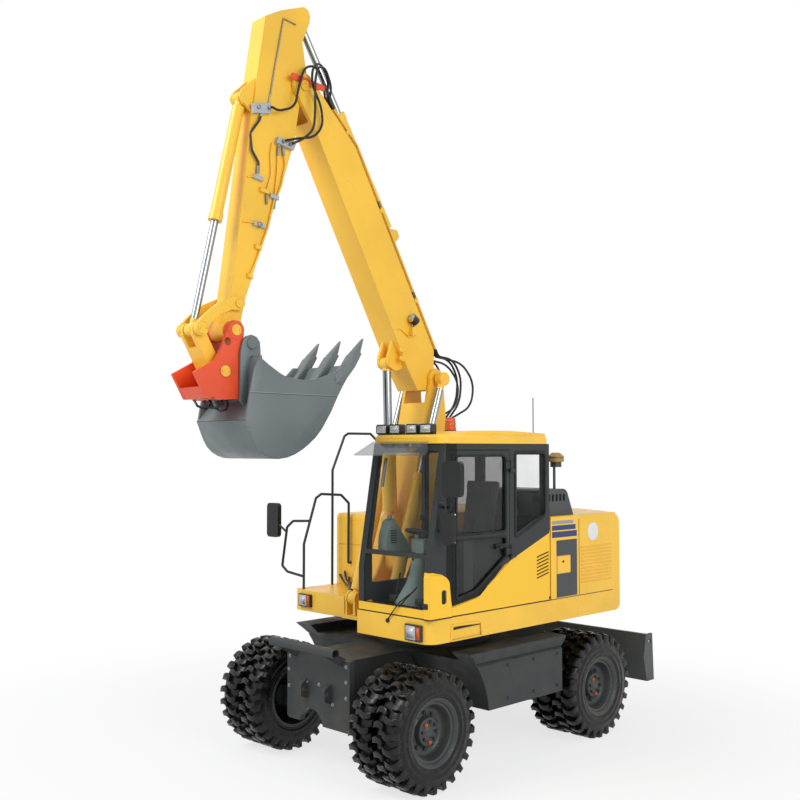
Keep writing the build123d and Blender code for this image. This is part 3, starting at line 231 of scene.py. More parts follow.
def painted(name, colour, rough, dust=0.0, dust_top=1.4, wear=0.25, worn=(0.55, 0.55, 0.52), metal=0.0,
            edge=0.006, dust_colour=(0.30, 0.25, 0.18), bands=None, shine=0.5, settled=0.0):
    """A paint with slow drift of tone, dust that fades upwards, worn edges and a fine skin."""
    made, tree, shader, place = blank(name)
    full = (*colour, 1)
    drift = cloud(tree, place, 1.7, 4.0)
    deep = tuple(0.86 * v for v in colour) + (1,)
    tone = blend(tree, fade(tree, drift, 0.35, 0.7, 0.0, 0.7), full, deep)
    if bands:
        tone = bands(tree, place, tone)
    smooth = wire(tree, "Bevel", {"samples": 3}, {"Radius": edge})
    plain = wire(tree, "NewGeometry", {}, {})
    same = wire(tree, "VectorMath", {"operation": "DOT_PRODUCT"},
                {0: smooth.outputs[0], 1: plain.outputs["Normal"]}).outputs["Value"]
    scuffs = fade(tree, cloud(tree, place, 38.0, 5.0), 0.52, 0.68)
    rubbed = times(tree, fade(tree, same, 0.99, 0.9), scuffs, wear)
    tone = blend(tree, rubbed, tone, (*worn, 1))
    height = wire(tree, "SeparateXYZ", {}, {0: place}).outputs[2]
    low = fade(tree, height, dust_top, 0.1)
    clouds = fade(tree, cloud(tree, place, 5.0, 6.0), 0.38, 0.72)
    covered = times(tree, low, clouds, dust)
    if settled:
        up = wire(tree, "SeparateXYZ", {}, {0: plain.outputs["Normal"]}).outputs[2]
        covered = either(tree, covered, times(tree, fade(tree, up, 0.6, 0.95, 0.0, settled), clouds))
    gloss = fade(tree, cloud(tree, place, 9.0, 3.0), 0.3, 0.75, rough - 0.05, rough + 0.08)
    feed(tree, shader, {
        "Base Color": blend(tree, covered, tone, (*dust_colour, 1)),
        "Roughness": maths(tree, "ADD", gloss, times(tree, covered, 0.35)),
        "Metallic": metal,
        "Specular IOR Level": shine,
        "Normal": bumps(tree, cloud(tree, place, 260.0, 2.0), 0.06, 0.002, smooth.outputs[0]),
    })
    return made


def axes(tree, place):
    """The three coordinates of a place, measured from the slewing axis."""
    moved = wire(tree, "VectorMath", {"operation": "SUBTRACT"}, {0: place, 1: tuple(slew_axis)})
    return wire(tree, "SeparateXYZ", {}, {0: moved.outputs[0]}).outputs


def between(tree, value, low, high):
    """One inside two limits, nought outside."""
    return times(tree, more(tree, value, low), less(tree, value, high))


yellow_colour = (0.96, 0.56, 0.045)
dark_colour = (0.034, 0.040, 0.040)
grime = (0.115, 0.090, 0.058)
yellow = painted("machine_yellow", yellow_colour, 0.32, dust=0.25)
dark = painted("cab_grey", dark_colour, 0.38, dust=0.15, shine=0.3)
chassis_grey = painted("chassis_grey", (0.036, 0.042, 0.042), 0.5, dust=0.30, dust_top=1.5, dust_colour=grime,
                       shine=0.3, settled=0.8)
# The blade's grey is lighter than the chassis grey: painted light, as if its face were lit where it stands in shade.
blade_painted_lit_grey = painted("blade_painted_lit_grey", (0.085, 0.097, 0.094), 0.5, dust=0.35, wear=0.8, dust_colour=grime, shine=0.35,
                     settled=0.5)
coupler_red = painted("coupler_red", (0.84, 0.085, 0.022), 0.35, wear=0.6, dust_top=0.0)
rim_grey = painted("rim_grey", (0.040, 0.046, 0.047), 0.36, dust=0.35, dust_top=1.1, dust_colour=grime, shine=0.4)
black = painted("black_plastic", (0.010, 0.011, 0.011), 0.40, wear=0.1, shine=0.3)
console_green = painted("console_green", (0.22, 0.29, 0.265), 0.6, wear=0.05, dust_top=0.0, shine=0.3)
print("painted finishes", len(bpy.data.materials))

# %% [markdown]
# The cab is one shell in two colours: a slanting line runs down the left side from the rear window to the door,
# with yellow below it. A colour ramp read along X gives the height of that line, and a comparison paints below it.
# The door's lower rails and front stile are near-black: their own black, deepened with painted shade of the doorway. A
# dark joint runs round the foot of the cab.

# %% Two-colour cab
cab_rear, cab_front, ramp_height = -0.45, 1.35, 3.0
# x along the cab, height of the line
paint_line = ((-0.435, 2.199), (0.217, 1.958), (0.298, 1.925), (0.363, 1.882), (0.661, 1.670), (1.030, 1.612),
              (1.050, 1.625), (1.078, 1.835), (1.110, 1.870), (1.176, 1.905), (1.300, 1.930))


def cab_bands(tree, place, tone):
    """The cab's yellow, its near-black door foot deepened with painted shade, and the joint below it, laid over its
    grey.
    """
    x, y, z = axes(tree, place)
    ramp = wire(tree, "ValToRGB", {}, {0: fade(tree, x, cab_rear, cab_front, shape="LINEAR")})
    stops = ramp.color_ramp.elements
    while len(stops) < len(paint_line):
        stops.new(0.5)
    for stop, (along, height) in zip(stops, paint_line):
        stop.position = (along - cab_rear) / (cab_front - cab_rear)
        stop.color = (*[height / ramp_height] * 3, 1)
    left = more(tree, y, 1.14)
    below = times(tree, less(tree, z, times(tree, ramp.outputs[0], ramp_height)), left)
    front_strip = times(tree, less(tree, z, 1.60), more(tree, x, 1.2))
    rear = times(tree, less(tree, z, 2.20), less(tree, x, -0.392))
    low_rails_black_and_shade = times(tree, less(tree, z, 2.19), between(tree, x, 0.36, 1.12), left)
    stile = times(tree, between(tree, x, 0.975, 1.12), left)
    # The door's lower rails and front stile are near-black, darker than the black plastic: their own black deepened
    # with painted shade of the doorway.
    tone = blend(tree, either(tree, low_rails_black_and_shade, stile), tone, (0.003, 0.004, 0.004, 1))
    tone = blend(tree, either(tree, below, front_strip, rear), tone, (*yellow_colour, 1))
    return blend(tree, less(tree, z, 1.527), tone, (0.03, 0.02, 0.01, 1))


cab_finish = painted("cab_shell", dark_colour, 0.36, dust=0.0, bands=cab_bands, shine=0.2)
print("points on the paint line", len(paint_line))

# %% [markdown]
# Many pieces are one casting or one weldment painted in more than one colour: stripes on the housing, a red lock bar
# on the boom, an amber dome on the beacon. Each such area is a box in x, y and z measured from the slewing axis, so
# one helper takes rows of boxes and paints inside them. The solids under them stay as they are.

# %% Areas of another colour
dark_panel = (0.034, 0.042, 0.042)
stripe_blue = (0.008, 0.030, 0.120)
silver = (0.42, 0.44, 0.45)
shut_line = (0.10, 0.07, 0.02)
anywhere = (-9.0, 9.0)


def zones(*rows):
    """Each row is (x from, to), (y from, to), (z from, to) and the colour inside."""
    def areas(tree, place, tone):
        values = axes(tree, place)
        for *limits, colour in rows:
            inside = times(tree, *(between(tree, value, *pair) for value, pair in zip(values, limits)
                                   if pair != anywhere))
            tone = blend(tree, inside, tone, (*colour, 1))
        return tone
    return areas


left_face = (1.2, 1.3)
housing_finish = painted("housing_yellow", yellow_colour, 0.32, dust=0.1, bands=zones(
    ((-0.800, -0.440), left_face, (2.262, 2.296), (0.27, 0.30, 0.30)),
    ((-0.840, -0.440), left_face, (2.200, 2.250), stripe_blue),
    ((-0.862, -0.440), left_face, (2.128, 2.188), stripe_blue),
    ((-0.862, -0.510), left_face, (1.530, 2.100), dark_panel),
    # A rim of darker yellow round the latch's square and on its sides is painted shade at the plate's edges.
    ((-0.740, -0.500), (1.2, 1.25), (1.765, 1.945), (0.80, 0.44, 0.035)),
    ((-0.730, -0.500), (1.24, 1.25), (1.772, 1.938), yellow_colour),
    ((-0.905, -0.893), (1.235, 1.25), (1.53, 2.30), shut_line),
    ((-1.50, -0.42), (1.235, 1.25), (1.515, 1.524), shut_line),
))
print("materials", len(bpy.data.materials))

# %% [markdown]
# Chrome, glass, rubber and cloth need other shader settings than paint. Glass is thin and clear, so it uses alpha
# with a light tint. The door's glass is near-black and half opaque: painted shade for the dark cab behind it.
# Rubber is nearly black, with brown dust caught in the tread.

# %% Chrome, glass and rubber
chrome, tree, shader, place = blank("rod_chrome")
x, y, z = axes(tree, place)
side_place = wire(tree, "CombineXYZ", {}, {0: x, 2: z}).outputs[0]
# rods end in painted eyes round these pins: x, z, reach
eyes = ((0.060, 3.745, 0.115), (2.945, 4.046, 0.100), (1.800, 7.130, 0.100), (0.609, 3.892, 0.085),
        (-1.980, 0.620, 0.080))
near_pins = []
for eye_x, eye_z, reach in eyes:
    gap = wire(tree, "VectorMath", {"operation": "DISTANCE"}, {0: side_place, 1: (eye_x, 0, eye_z)})
    near_pins.append(less(tree, gap.outputs["Value"], reach))
painted_eye = either(tree, *near_pins)
feed(tree, shader, {
    "Base Color": blend(tree, painted_eye, (0.30, 0.32, 0.33, 1), (*yellow_colour, 1)),
    "Metallic": maths(tree, "SUBTRACT", 1.0, painted_eye),
    "Roughness": fade(tree, cloud(tree, place, 60.0, 2.0), 0.3, 0.8, 0.12, 0.30),
})


def pane(name, tint, thickness):
    """Thin window glass: a tint, how much of it shows, and faint smears. The sun visor over the windscreen is milky."""
    made, tree, shader, place = blank(name)
    smears = cloud(tree, place, 1.6, 4.0)
    x, _, z = axes(tree, place)
    visor = times(tree, more(tree, x, 1.165), more(tree, z, 2.94), 0.36)
    feed(tree, shader, {
        "Base Color": blend(tree, smears, (*tint, 1), tuple(1.25 * v for v in tint) + (1,)),
        "Alpha": maths(tree, "ADD", fade(tree, smears, 0.3, 0.8, thickness - 0.02, thickness + 0.05), visor),
        "Roughness": 0.04,
        "IOR": 1.5,
    })
    return made


glass = pane("window_glass", (0.12, 0.14, 0.14), 0.055)
# The door glass is tinted near-black and half opaque: painted shade for the dark cab behind it.
door_pane_painted_shade = pane("door_window_glass_painted_shade", (0.008, 0.010, 0.010), 0.50)


def rubbery(name, tone_low, tone_high, rough, grain_size=130.0, dusty=0.0):
    """Rubber that greys in patches, with a fine grain and clods of dust where dusty."""
    made, tree, shader, place = blank(name)
    greyed = fade(tree, cloud(tree, place, 6.0, 7.0), 0.50, 0.75)
    tone = blend(tree, greyed, (*tone_low, 1), (*tone_high, 1))
    if dusty:
        clods = fade(tree, cloud(tree, place, 24.0, 5.0), 0.55, 0.66, 0.0, dusty)
        tone = blend(tree, clods, tone, (0.055, 0.043, 0.028, 1))
    feed(tree, shader, {
        "Base Color": tone,
        "Roughness": fade(tree, cloud(tree, place, 14.0, 4.0), 0.35, 0.7, rough - 0.12, rough + 0.12),
        "Specular IOR Level": 0.30,
        "Normal": bumps(tree, cloud(tree, place, grain_size, 4.0), 0.3, 0.002),
    })
    return made


rubber = rubbery("tyre_rubber", (0.0032, 0.0034, 0.0034), (0.0080, 0.0075, 0.0065), 0.32, dusty=0.28)
hose_black = rubbery("hose_rubber", (0.012, 0.013, 0.014), (0.022, 0.023, 0.024), 0.38, 420.0)
seal_black = rubbery("seal_rubber", (0.008, 0.008, 0.008), (0.014, 0.014, 0.014), 0.55, 300.0)
iron = painted("engine_iron", (0.10, 0.10, 0.095), 0.6, wear=0.1)
print("materials", len(bpy.data.materials))

# %% [markdown]
# Lamp lenses and mirrors are small, but the eye finds them at once. A lens is clear ribbed plastic over a reflector:
# a Wave texture makes the ribs. The beacon's dome and the turn signals are amber, and none of them gives light.

# %% Lenses, dome and mirror


def lens(name, colour, metal, rib=90.0, rough=0.12):
    """Ribbed plastic or glass over a reflector."""
    made, tree, shader, place = blank(name)
    ribs = wire(tree, "TexWave", {"bands_direction": "Y"}, {"Vector": place, "Scale": rib}).outputs[1]
    feed(tree, shader, {
        "Base Color": blend(tree, fade(tree, ribs, 0.1, 0.9), (*colour, 1), tuple(0.55 * v for v in colour) + (1,)),
        "Metallic": metal,
        "Roughness": rough,
        "Normal": bumps(tree, ribs, 0.25, 0.003),
    })
    return made


clear_lens = lens("clear_lens", (0.62, 0.64, 0.65), 0.35)
amber_lens = lens("amber_lens", (0.85, 0.12, 0.01), 0.0, 140.0)
mirror_glass = lens("mirror_glass", (0.60, 0.64, 0.66), 1.0, 3.0, 0.05)
white_plate = painted("white_plate", (0.80, 0.81, 0.80), 0.4, wear=0.0, dust_top=0.0)
bolt_steel = painted("bolt_steel", (0.26, 0.27, 0.27), 0.38, metal=0.6, wear=0.3, edge=0.002)

# %% [markdown]
# The same boxes of colour paint the beacon, the red lock bar, the steel fittings on the pipes, painted shade in the
# slots of the hood, and the bucket's welded seams, which are too thin to model: a dark line of painted shade under a
# light line of painted highlight.

# %% Other pieces in two colours
lamp_finish = painted("lamp_housing", (0.018, 0.019, 0.020), 0.35, wear=0.1, bands=zones(
    ((0.30, 0.46), (0.54, 0.70), (3.205, 3.40), (0.62, 0.075, 0.012)),
))
fitting_finish = painted("boom_pipes", yellow_colour, 0.35, wear=0.3, bands=zones(
    ((1.58, 2.02), (0.10, 0.12), (6.41, 6.53), (0.80, 0.075, 0.018)),
    ((0.36, 0.45), (0.09, 0.25), (4.27, 4.42), (0.016, 0.017, 0.018)),
    (anywhere, (-0.3, 0.3), (4.58, 4.64), (0.20, 0.17, 0.10)),
    (anywhere, (-0.3, 0.3), (5.44, 5.50), (0.20, 0.17, 0.10)),
))
arm_line_finish = painted("arm_pipes", yellow_colour, 0.35, wear=0.3, bands=zones(
    ((2.205, 2.43), anywhere, (6.035, 6.18), silver),
    ((1.915, 2.16), anywhere, (5.785, 5.89), silver),
    ((2.281, 2.40), (0.04, 0.10), (5.435, 5.50), silver),
    ((2.107, 2.214), (0.04, 0.10), (5.29, 5.35), silver),
    ((2.255, 2.40), (0.04, 0.10), (5.005, 5.065), silver),
    ((2.285, 2.47), (0.045, 0.10), (5.50, 6.03), (0.013, 0.014, 0.015)),
))
cleaner_finish = painted("air_cleaner", (0.040, 0.044, 0.044), 0.35, wear=0.2, bands=zones(
    (anywhere, anywhere, (2.884, 3.00), (0.36, 0.21, 0.045)),
    (anywhere, anywhere, (2.925, 2.934), (0.06, 0.05, 0.03)),
))
hood_finish = painted("hood_grey", (0.060, 0.069, 0.069), 0.42, dust=0.0, shine=0.35, bands=zones(
    # The near-black strips along the hood's left edge are painted shade in its slots.
    (anywhere, (1.0, 1.1352), (2.480, 2.560), (0.006, 0.006, 0.006)),
    (anywhere, (0.90, 1.08), (2.57, 2.5955), (0.006, 0.006, 0.006)),
))
station_finish = painted("operator_station", (0.22, 0.29, 0.265), 0.55, wear=0.05, dust_top=0.0, bands=zones(
    ((0.60, 1.12), (0.55, 0.97), (2.14, 2.50), (0.012, 0.012, 0.013)),
    ((0.10, 0.58), (0.555, 0.965), (1.50, 2.02), (0.014, 0.015, 0.015)),
    ((0.55, 0.63), anywhere, (2.19, 2.40), (0.012, 0.012, 0.013)),
    (anywhere, anywhere, (1.50, 1.60), (0.012, 0.012, 0.013)),
))
bucket_finish = painted("bucket_paint", (0.140, 0.167, 0.171), 0.40, wear=0.6, dust_top=0.0, bands=zones(
    # Each side seam is a dark line of painted shade under a light line of painted highlight; the heel seam below is a
    # dark line.
    ((1.55, 2.60), (0.30, 0.34), (3.499, 3.506), (0.045, 0.05, 0.05)),
    ((1.55, 2.60), (0.30, 0.34), (3.506, 3.512), (0.24, 0.27, 0.275)),
    ((2.30, 2.70), (-0.417, 0.317), (3.262, 3.270), (0.045, 0.05, 0.05)),
))
print("materials", len(bpy.data.materials))

# %% [markdown]
# The frame's pieces get their finish by the start of their name, and the longest start that fits wins. What the list
# leaves out is machine yellow, and every cylinder rod is chrome.

# %% Finishes on the frame's own pieces
plans = (
    (rubber, "tyres_"),
    (rim_grey, "rim_"),
    (chassis_grey, "front_axle knuckle rear_axle driveline chassis_frame front_crossbar side_boxes slew_ring"),
    (blade_painted_lit_grey, "blade"),
    (cab_finish, "cab_frame door"),
    (glass, "cab_glass"),
    (door_pane_painted_shade, "door_glass"),
    (station_finish, "operator_station"),
    (dark, "handrails"),
    (black, "mirrors"),
    (lamp_finish, "lamps"),
    (housing_finish, "rear_housing"),
    (hood_finish, "engine_hood"),
    (iron, "engine_block"),
    (bucket_finish, "bucket"),
    (yellow, "bucket_cylinder_barrel"),
    (coupler_red, "coupler"),
    (cleaner_finish, "air_cleaner"),
    (fitting_finish, "boom_fittings"),
    (arm_line_finish, "arm_pipes"),
    (hose_black, "middle_hoses foot_hoses arm_hoses"),
)
plan_by_start = {start: finish for finish, starts in plans for start in starts.split()}
for name, piece in nodes.items():
    fitting_starts = [start for start in plan_by_start if name.startswith(start)]
    finish = plan_by_start[max(fitting_starts, key=len)] if fitting_starts else yellow
    if "_rod" in name:
        finish = chrome
    piece.data.materials.clear()
    piece.data.materials.append(finish)
print("dressed", len(nodes))

# %% [markdown]
# ## Modelling by hand, in code
# Each new piece starts as a primitive at its size and place and is shaped in edit mode. A few helpers keep the steps
# short: select one piece, pick faces by their direction, round edges, and settle a piece's place into its mesh.

# %% Modelling helpers


def clear():
    """Leave edit mode and select nothing."""
    if bpy.context.mode != "OBJECT":
        bpy.ops.object.mode_set(mode="OBJECT")
    bpy.ops.object.select_all(action="DESELECT")


def only(piece):
    """Leave edit mode and select just this piece."""
    clear()
    piece.select_set(True)
    bpy.context.view_layer.objects.active = piece
    return piece


def settle(piece, name):
    """Name the piece, and put its place, turn and size into its mesh."""
    only(piece)
    piece.name = name
    bpy.ops.object.transform_apply(location=True, rotation=True, scale=True)
    return piece


def edit(piece, kind="FACE"):
    """Open the piece in edit mode with everything selected."""
    only(piece)
    bpy.ops.object.mode_set(mode="EDIT")
    bpy.ops.mesh.select_mode(type=kind)
    bpy.ops.mesh.select_all(action="SELECT")


def pick(piece, test):
    """In edit mode, select the faces whose normal passes a test."""
    edit(piece)
    bpy.ops.mesh.select_all(action="DESELECT")
    sheet = bmesh.from_edit_mesh(piece.data)
    for face in sheet.faces:
        face.select_set(test(face.normal))
    bmesh.update_edit_mesh(piece.data)


def outward(piece):
    """Merge doubles and turn every face outwards."""
    edit(piece)
    bpy.ops.mesh.remove_doubles(threshold=0.00005)
    bpy.ops.mesh.normals_make_consistent(inside=False)
    clear()


def applied(piece, kind, **settings):
    """Add a modifier with its settings, and apply it."""
    only(piece)
    modifier = piece.modifiers.new(kind.lower(), kind)
    for key, value in settings.items():
        setattr(modifier, key, value)
    bpy.ops.object.modifier_apply(modifier=modifier.name)


def smooth_below(degrees):
    """Smooth the selected piece, apart from its edges sharper than an angle."""
    bpy.ops.object.shade_smooth_by_angle(angle=math.radians(degrees))


def round_edges(piece, width, segments=2, angle=30):
    """Bevel the piece's edges sharper than an angle, and smooth it."""
    applied(piece, "BEVEL", width=width, segments=segments, limit_method="ANGLE", angle_limit=math.radians(angle))
    smooth_below(40)
    return piece


def push(move):
    """Extrude what is selected by a move."""
    bpy.ops.mesh.extrude_region_move(TRANSFORM_OT_translate={"value": move})


def block(name, middle, size):
    """A box round its middle."""
    clear()
    bpy.ops.mesh.primitive_cube_add(size=1, location=middle, scale=size)
    return settle(bpy.context.object, name)


def plate(name, low, high, bevel=0.004):
    """A plate or block between two corners, with rounded edges."""
    low, high = at(*low), at(*high)
    return round_edges(block(name, (low + high) / 2, high - low), bevel)


def disc(name, sides, radius, depth, middle):
    """A short bar with so many sides, along Y."""
    clear()
    bpy.ops.mesh.primitive_cylinder_add(vertices=sides, radius=radius, depth=depth, location=(0, middle, 0),
                                        rotation=(math.pi / 2, 0, 0))
    return settle(bpy.context.object, name)


def tube(name, points, radius, sides=12):
    """A round pipe through points: a ring, extruded run by run and turned at each corner."""
    points = [at(*point) for point in points]
    runs = [(after - before).normalized() for before, after in zip(points, points[1:])]
    clear()
    bpy.ops.mesh.primitive_circle_add(vertices=sides, radius=radius, fill_type="NGON", location=points[0],
                                      rotation=runs[0].to_track_quat("Z", "Y").to_euler())
    piece = settle(bpy.context.object, name)
    edit(piece)
    facing = runs[0]
    for index, point in enumerate(points[1:], 1):
        push(point - points[index - 1])
        wanted = (runs[index - 1] + runs[min(index, len(runs) - 1)]).normalized()
        sheet = bmesh.from_edit_mesh(piece.data)
        ring = [corner for corner in sheet.verts if corner.select]
        turn = facing.rotation_difference(wanted).to_matrix()
        bmesh.ops.rotate(sheet, verts=ring, cent=point, matrix=turn)
        bmesh.update_edit_mesh(piece.data)
        facing = wanted
    outward(piece)
    return round_edges(piece, radius * 0.2, 2, 60)


def drawn(name, places):
    """A chain of edges: one point, extruded from place to place, left in edit mode with all of it selected."""
    clear()
    bpy.ops.mesh.primitive_plane_add(size=0.001, location=places[0])
    piece = settle(bpy.context.object, name)
    edit(piece, "VERT")
    bpy.ops.mesh.merge(type="CENTER")
    for before, after in zip(places, places[1:]):
        push(after - before)
    bpy.ops.mesh.select_all(action="SELECT")
    return piece


def turned(name, rows, centre, axis="Y", steps=72):
    """Spin a profile of (place along the axis, radius) rows once round an axle along Y, or a post along Z."""
    along = Vector((0, 1, 0)) if axis == "Y" else Vector((0, 0, 1))
    out = Vector((0, 0, 1)) if axis == "Y" else Vector((1, 0, 0))
    piece = drawn(name, [centre + along * distance + out * radius for distance, radius in rows])
    bpy.ops.mesh.spin(steps=steps, angle=math.tau, center=centre, axis=along)
    outward(piece)
    only(piece)
    smooth_below(35)
    return piece


def sheet_cut(name, corners, y, rounding):
    """A flat sheet across Y, cut to corners given in x and z, left in edit mode with its face selected."""
    clear()
    bpy.ops.mesh.primitive_circle_add(vertices=len(corners), radius=0.1, fill_type="NGON",
                                      location=at(0, y, 0), rotation=(math.pi / 2, 0, 0))
    piece = settle(bpy.context.object, name)
    for vertex, (x, z) in zip(piece.data.vertices, corners):
        vertex.co = at(x, y, z)
    edit(piece, "VERT")
    if rounding:
        bpy.ops.mesh.bevel(offset=rounding, segments=5, affect="VERTICES")
    bpy.ops.mesh.select_mode(type="FACE")
    bpy.ops.mesh.select_all(action="SELECT")
    return piece


def panel(name, corners, y, depth, corner=0.0, bevel=0.0):
    """A flat sheet cut to its corners and thickened along Y."""
    piece = sheet_cut(name, corners, y, corner)
    push((0, depth, 0))
    outward(piece)
    return round_edges(piece, bevel) if bevel else piece


def seal(name, corners, y, depth, width, corner=0.04):
    """A strip round a window: its panel inset, opened and thickened along Y."""
    piece = sheet_cut(name, corners, y, corner)
    bpy.ops.mesh.inset(thickness=width)
    bpy.ops.mesh.delete(type="FACE")
    bpy.ops.mesh.select_all(action="SELECT")
    push((0, depth, 0))
    outward(piece)
    return round_edges(piece, min(width, depth) * 0.25)


def joined(name, pieces):
    """Several pieces as one, under one name."""
    clear()
    for piece in pieces:
        piece.select_set(True)
    bpy.context.view_layer.objects.active = pieces[0]
    if len(pieces) > 1:
        bpy.ops.object.join()
    pieces[0].name = name
    return pieces[0]


def dress(piece, body, finish):
    """Give a piece its finish and the body that it rides on."""
    clear()
    piece.data.materials.clear()
    piece.data.materials.append(finish)
    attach(piece, body)
    return piece


def copied(piece, name, move, turn=0.0, axis="Z"):
    """A copy with its own mesh, turned and then moved."""
    made = bpy.data.objects.new(name, piece.data.copy())
    bpy.context.scene.collection.objects.link(made)
    made.data.transform(Matrix.Translation(move) @ Matrix.Rotation(turn, 4, axis))
    return made


def repeated(name, piece, spots, body, finish, turn=0.0, axis="Z"):
    """Copies of one modelled piece at several places, joined to one piece."""
    copies = [copied(piece, name + "_copy", at(*spot), turn, axis) for spot in spots]
    return dress(joined(name, copies), body, finish)


def lines(name, paths, radius, sides, body, finish):
    """Pipes or hoses along several paths, joined to one piece."""
    return dress(joined(name, [tube(name, path, radius, sides) for path in paths]), body, finish)


def left_side(node):
    """How far the left face of one of the frame's pieces stands from the slewing axis."""
    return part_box(node)[1].y - slew_axis.y


def triangles(piece):
    """How many triangles the piece's faces make."""
    return sum(len(face.vertices) - 2 for face in piece.data.polygons)


print("modelling helpers ready")

# %% [markdown]
# ## Tyres
# Each corner has two 10.00-20 tyres with heavy cross lugs. A profile is spun round the axle for the carcass, with
# its bead, side rings and shoulders. One lug is a block, stepped, tapered and slanted. It is copied round both
# shoulders, half a step apart, which gives the staggered tread.

# %% One tyre round the origin
tyre_radius, tyre_half, bead_radius = 0.5375, 0.134, 0.288
half_rows = (
    (0.104, bead_radius - 0.004), (0.124, 0.300), (0.128, 0.318), (0.1285, 0.333), (0.1335, 0.340), (0.1335, 0.350),
    (0.130, 0.357), (0.1315, 0.385), (0.1335, 0.392), (0.1335, 0.398), (0.131, 0.405), (0.128, 0.440),
    (0.118, 0.474), (0.100, 0.490), (0.045, 0.499),
)
carcass_rows = [(-y, radius) for y, radius in half_rows] + [(y, radius) for y, radius in reversed(half_rows)]
carcass_rows.append(carcass_rows[0])
carcass = turned("carcass", carcass_rows, Vector((0, 0, 0)), "Y", 96)
lug_count, lug_middle, shoulder = 26, 0.066, 0.108
lug = block("lug", (0, lug_middle, 0.495), (0.066, 0.126, 0.085))
pick(lug, lambda normal: normal.z > 0.9)
bpy.ops.transform.resize(value=(0.80, 0.94, 1), center_override=(0, lug_middle, tyre_radius))
bpy.ops.mesh.select_all(action="SELECT")
bpy.ops.mesh.subdivide(number_cuts=2)
sheet = bmesh.from_edit_mesh(lug.data)
for corner in sheet.verts:  # bow the lug, widen its inner end and slope it over the shoulder
    reach = corner.co.y / tyre_half
    corner.co.x += 0.026 * math.sin(reach * 3.1) - 0.010
    corner.co.x *= 1.0 + 0.25 * max(0.0, 0.4 - reach)
    corner.co.z -= max(0.0, corner.co.y - shoulder) * 0.6
bmesh.update_edit_mesh(lug.data)
clear()
round_edges(lug, 0.005, 2, 50)
lug_copies = []
for side in (1, -1):
    for index in range(lug_count):
        turn = math.tau * (index + (0.5 if side < 0 else 0.0)) / lug_count
        lug_copy = copied(lug, "lug_copy", (0, 0, 0), math.pi if side < 0 else 0.0)
        lug_copy.data.transform(Matrix.Rotation(turn, 4, "Y"))
        lug_copies.append(lug_copy)
bpy.data.objects.remove(lug)
one_tyre = joined("one_tyre", [carcass] + lug_copies)
print("tyre triangles", triangles(one_tyre))

# %% [markdown]
# The frame gives the box of each pair of tyres. Two copies stand against its inner and outer side. On the right the
# tyre is turned half round, so that its tread points the same way.

# %% Eight tyres on their wheels
wheel_spots = {}
for corner_name in ("front_left", "front_right", "rear_left", "rear_right"):
    low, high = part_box("tyres_" + corner_name)
    centre = (low + high) / 2
    wheel_spots[corner_name] = centre
    pair = []
    for index, y in enumerate((low.y + tyre_half, high.y - tyre_half)):
        turn = 0.0 if corner_name.endswith("left") else math.pi
        pair.append(copied(one_tyre, f"tyre_{corner_name}_{index}", (centre.x, y, tyre_radius), turn))
    pair = joined("lugged_tyres_" + corner_name, pair)
    dress(pair, "wheel_" + corner_name, rubber)
    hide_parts("tyres_" + corner_name)
bpy.data.objects.remove(one_tyre)
print("wheels", list(wheel_spots))

# %% [markdown]
# ## Rims
# A twin wheel's rim is a deep drum. From outside one sees a stepped edge ring, a cone that runs 150 mm in to the
# disc, a ring of nuts and the hub, with eight more nuts. The whole rim is one spun profile, and each nut is a copy.

# %% One rim and its nuts
# distance out from the middle of the machine, radius
rim_rows = (
    (1.176, 0.0), (1.176, 0.040), (1.170, 0.048), (1.168, 0.056), (1.168, 0.112), (1.162, 0.122), (1.150, 0.127),
    (1.112, 0.130), (1.104, 0.138), (1.100, 0.148), (1.100, 0.176), (1.104, 0.196),
    (1.118, 0.214), (1.150, 0.226), (1.190, 0.236), (1.202, 0.242), (1.207, 0.252), (1.208, 0.260), (1.226, 0.266),
    (1.232, 0.273), (1.232, 0.280), (1.238, 0.284), (1.2435, 0.292), (1.2435, 0.299), (1.239, 0.3035),
    (1.233, 0.3035), (1.231, 0.296), (1.231, 0.2862), (0.692, 0.2862), (0.692, 0.300), (0.687, 0.3035),
    (0.680, 0.3035), (0.6785, 0.297), (0.6785, 0.276), (0.690, 0.272), (1.060, 0.266), (1.080, 0.240),
    (1.082, 0.130), (1.070, 0.120), (0.86, 0.118), (0.86, 0.071), (1.050, 0.071), (1.050, 0.0),
)
one_rim = turned("one_rim", rim_rows, Vector((0, 0, 0)), "Y", 72)
nut = disc("nut", 6, 0.0165, 0.022, 0.011)
pick(nut, lambda normal: normal.y > 0.9)
bpy.ops.mesh.inset(thickness=0.006)
push((0, 0.010, 0))
round_edges(nut, 0.0015)
# nuts in the ring, first angle, ring's radius, distance out, and which of them are plugs
nut_rings = ((8, 0.1, 0.088, 1.167, (1, 6)), (10, math.tau / 20, 0.160, 1.100, ()))
for corner_name, centre in wheel_spots.items():
    side = 1 if corner_name.endswith("left") else -1
    turn = 0.0 if side > 0 else math.pi
    hub = Vector((centre.x, slew_axis.y, tyre_radius))
    made = copied(one_rim, "turned_rim_" + corner_name, hub, turn)
    dress(made, "wheel_" + corner_name, rim_grey)
    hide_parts("rim_" + corner_name)
    nuts, plugs = [], []
    for count, first_angle, radius, distance, plug_places in nut_rings:
        for index in range(count):
            angle = math.tau * index / count + first_angle
            spot = hub + Vector((radius * math.cos(angle), side * distance, radius * math.sin(angle)))
            kind = plugs if index in plug_places else nuts
            kind.append(copied(nut, "nut_copy", spot, turn))
    dress(joined("wheel_nuts_" + corner_name, nuts), "wheel_" + corner_name, rim_grey)
    dress(joined("hub_plugs_" + corner_name, plugs), "wheel_" + corner_name, amber_lens)
bpy.data.objects.remove(one_rim)
print("rims", len(wheel_spots), "with", len(nuts) + len(plugs), "nuts and plugs each")

# %% [markdown]
# ## Bolts
# Most fasteners on the frame are the same hexagon head on a washer. It is modelled once, facing left, and copied to
# each place. Turning it a quarter round Z makes it face forward.

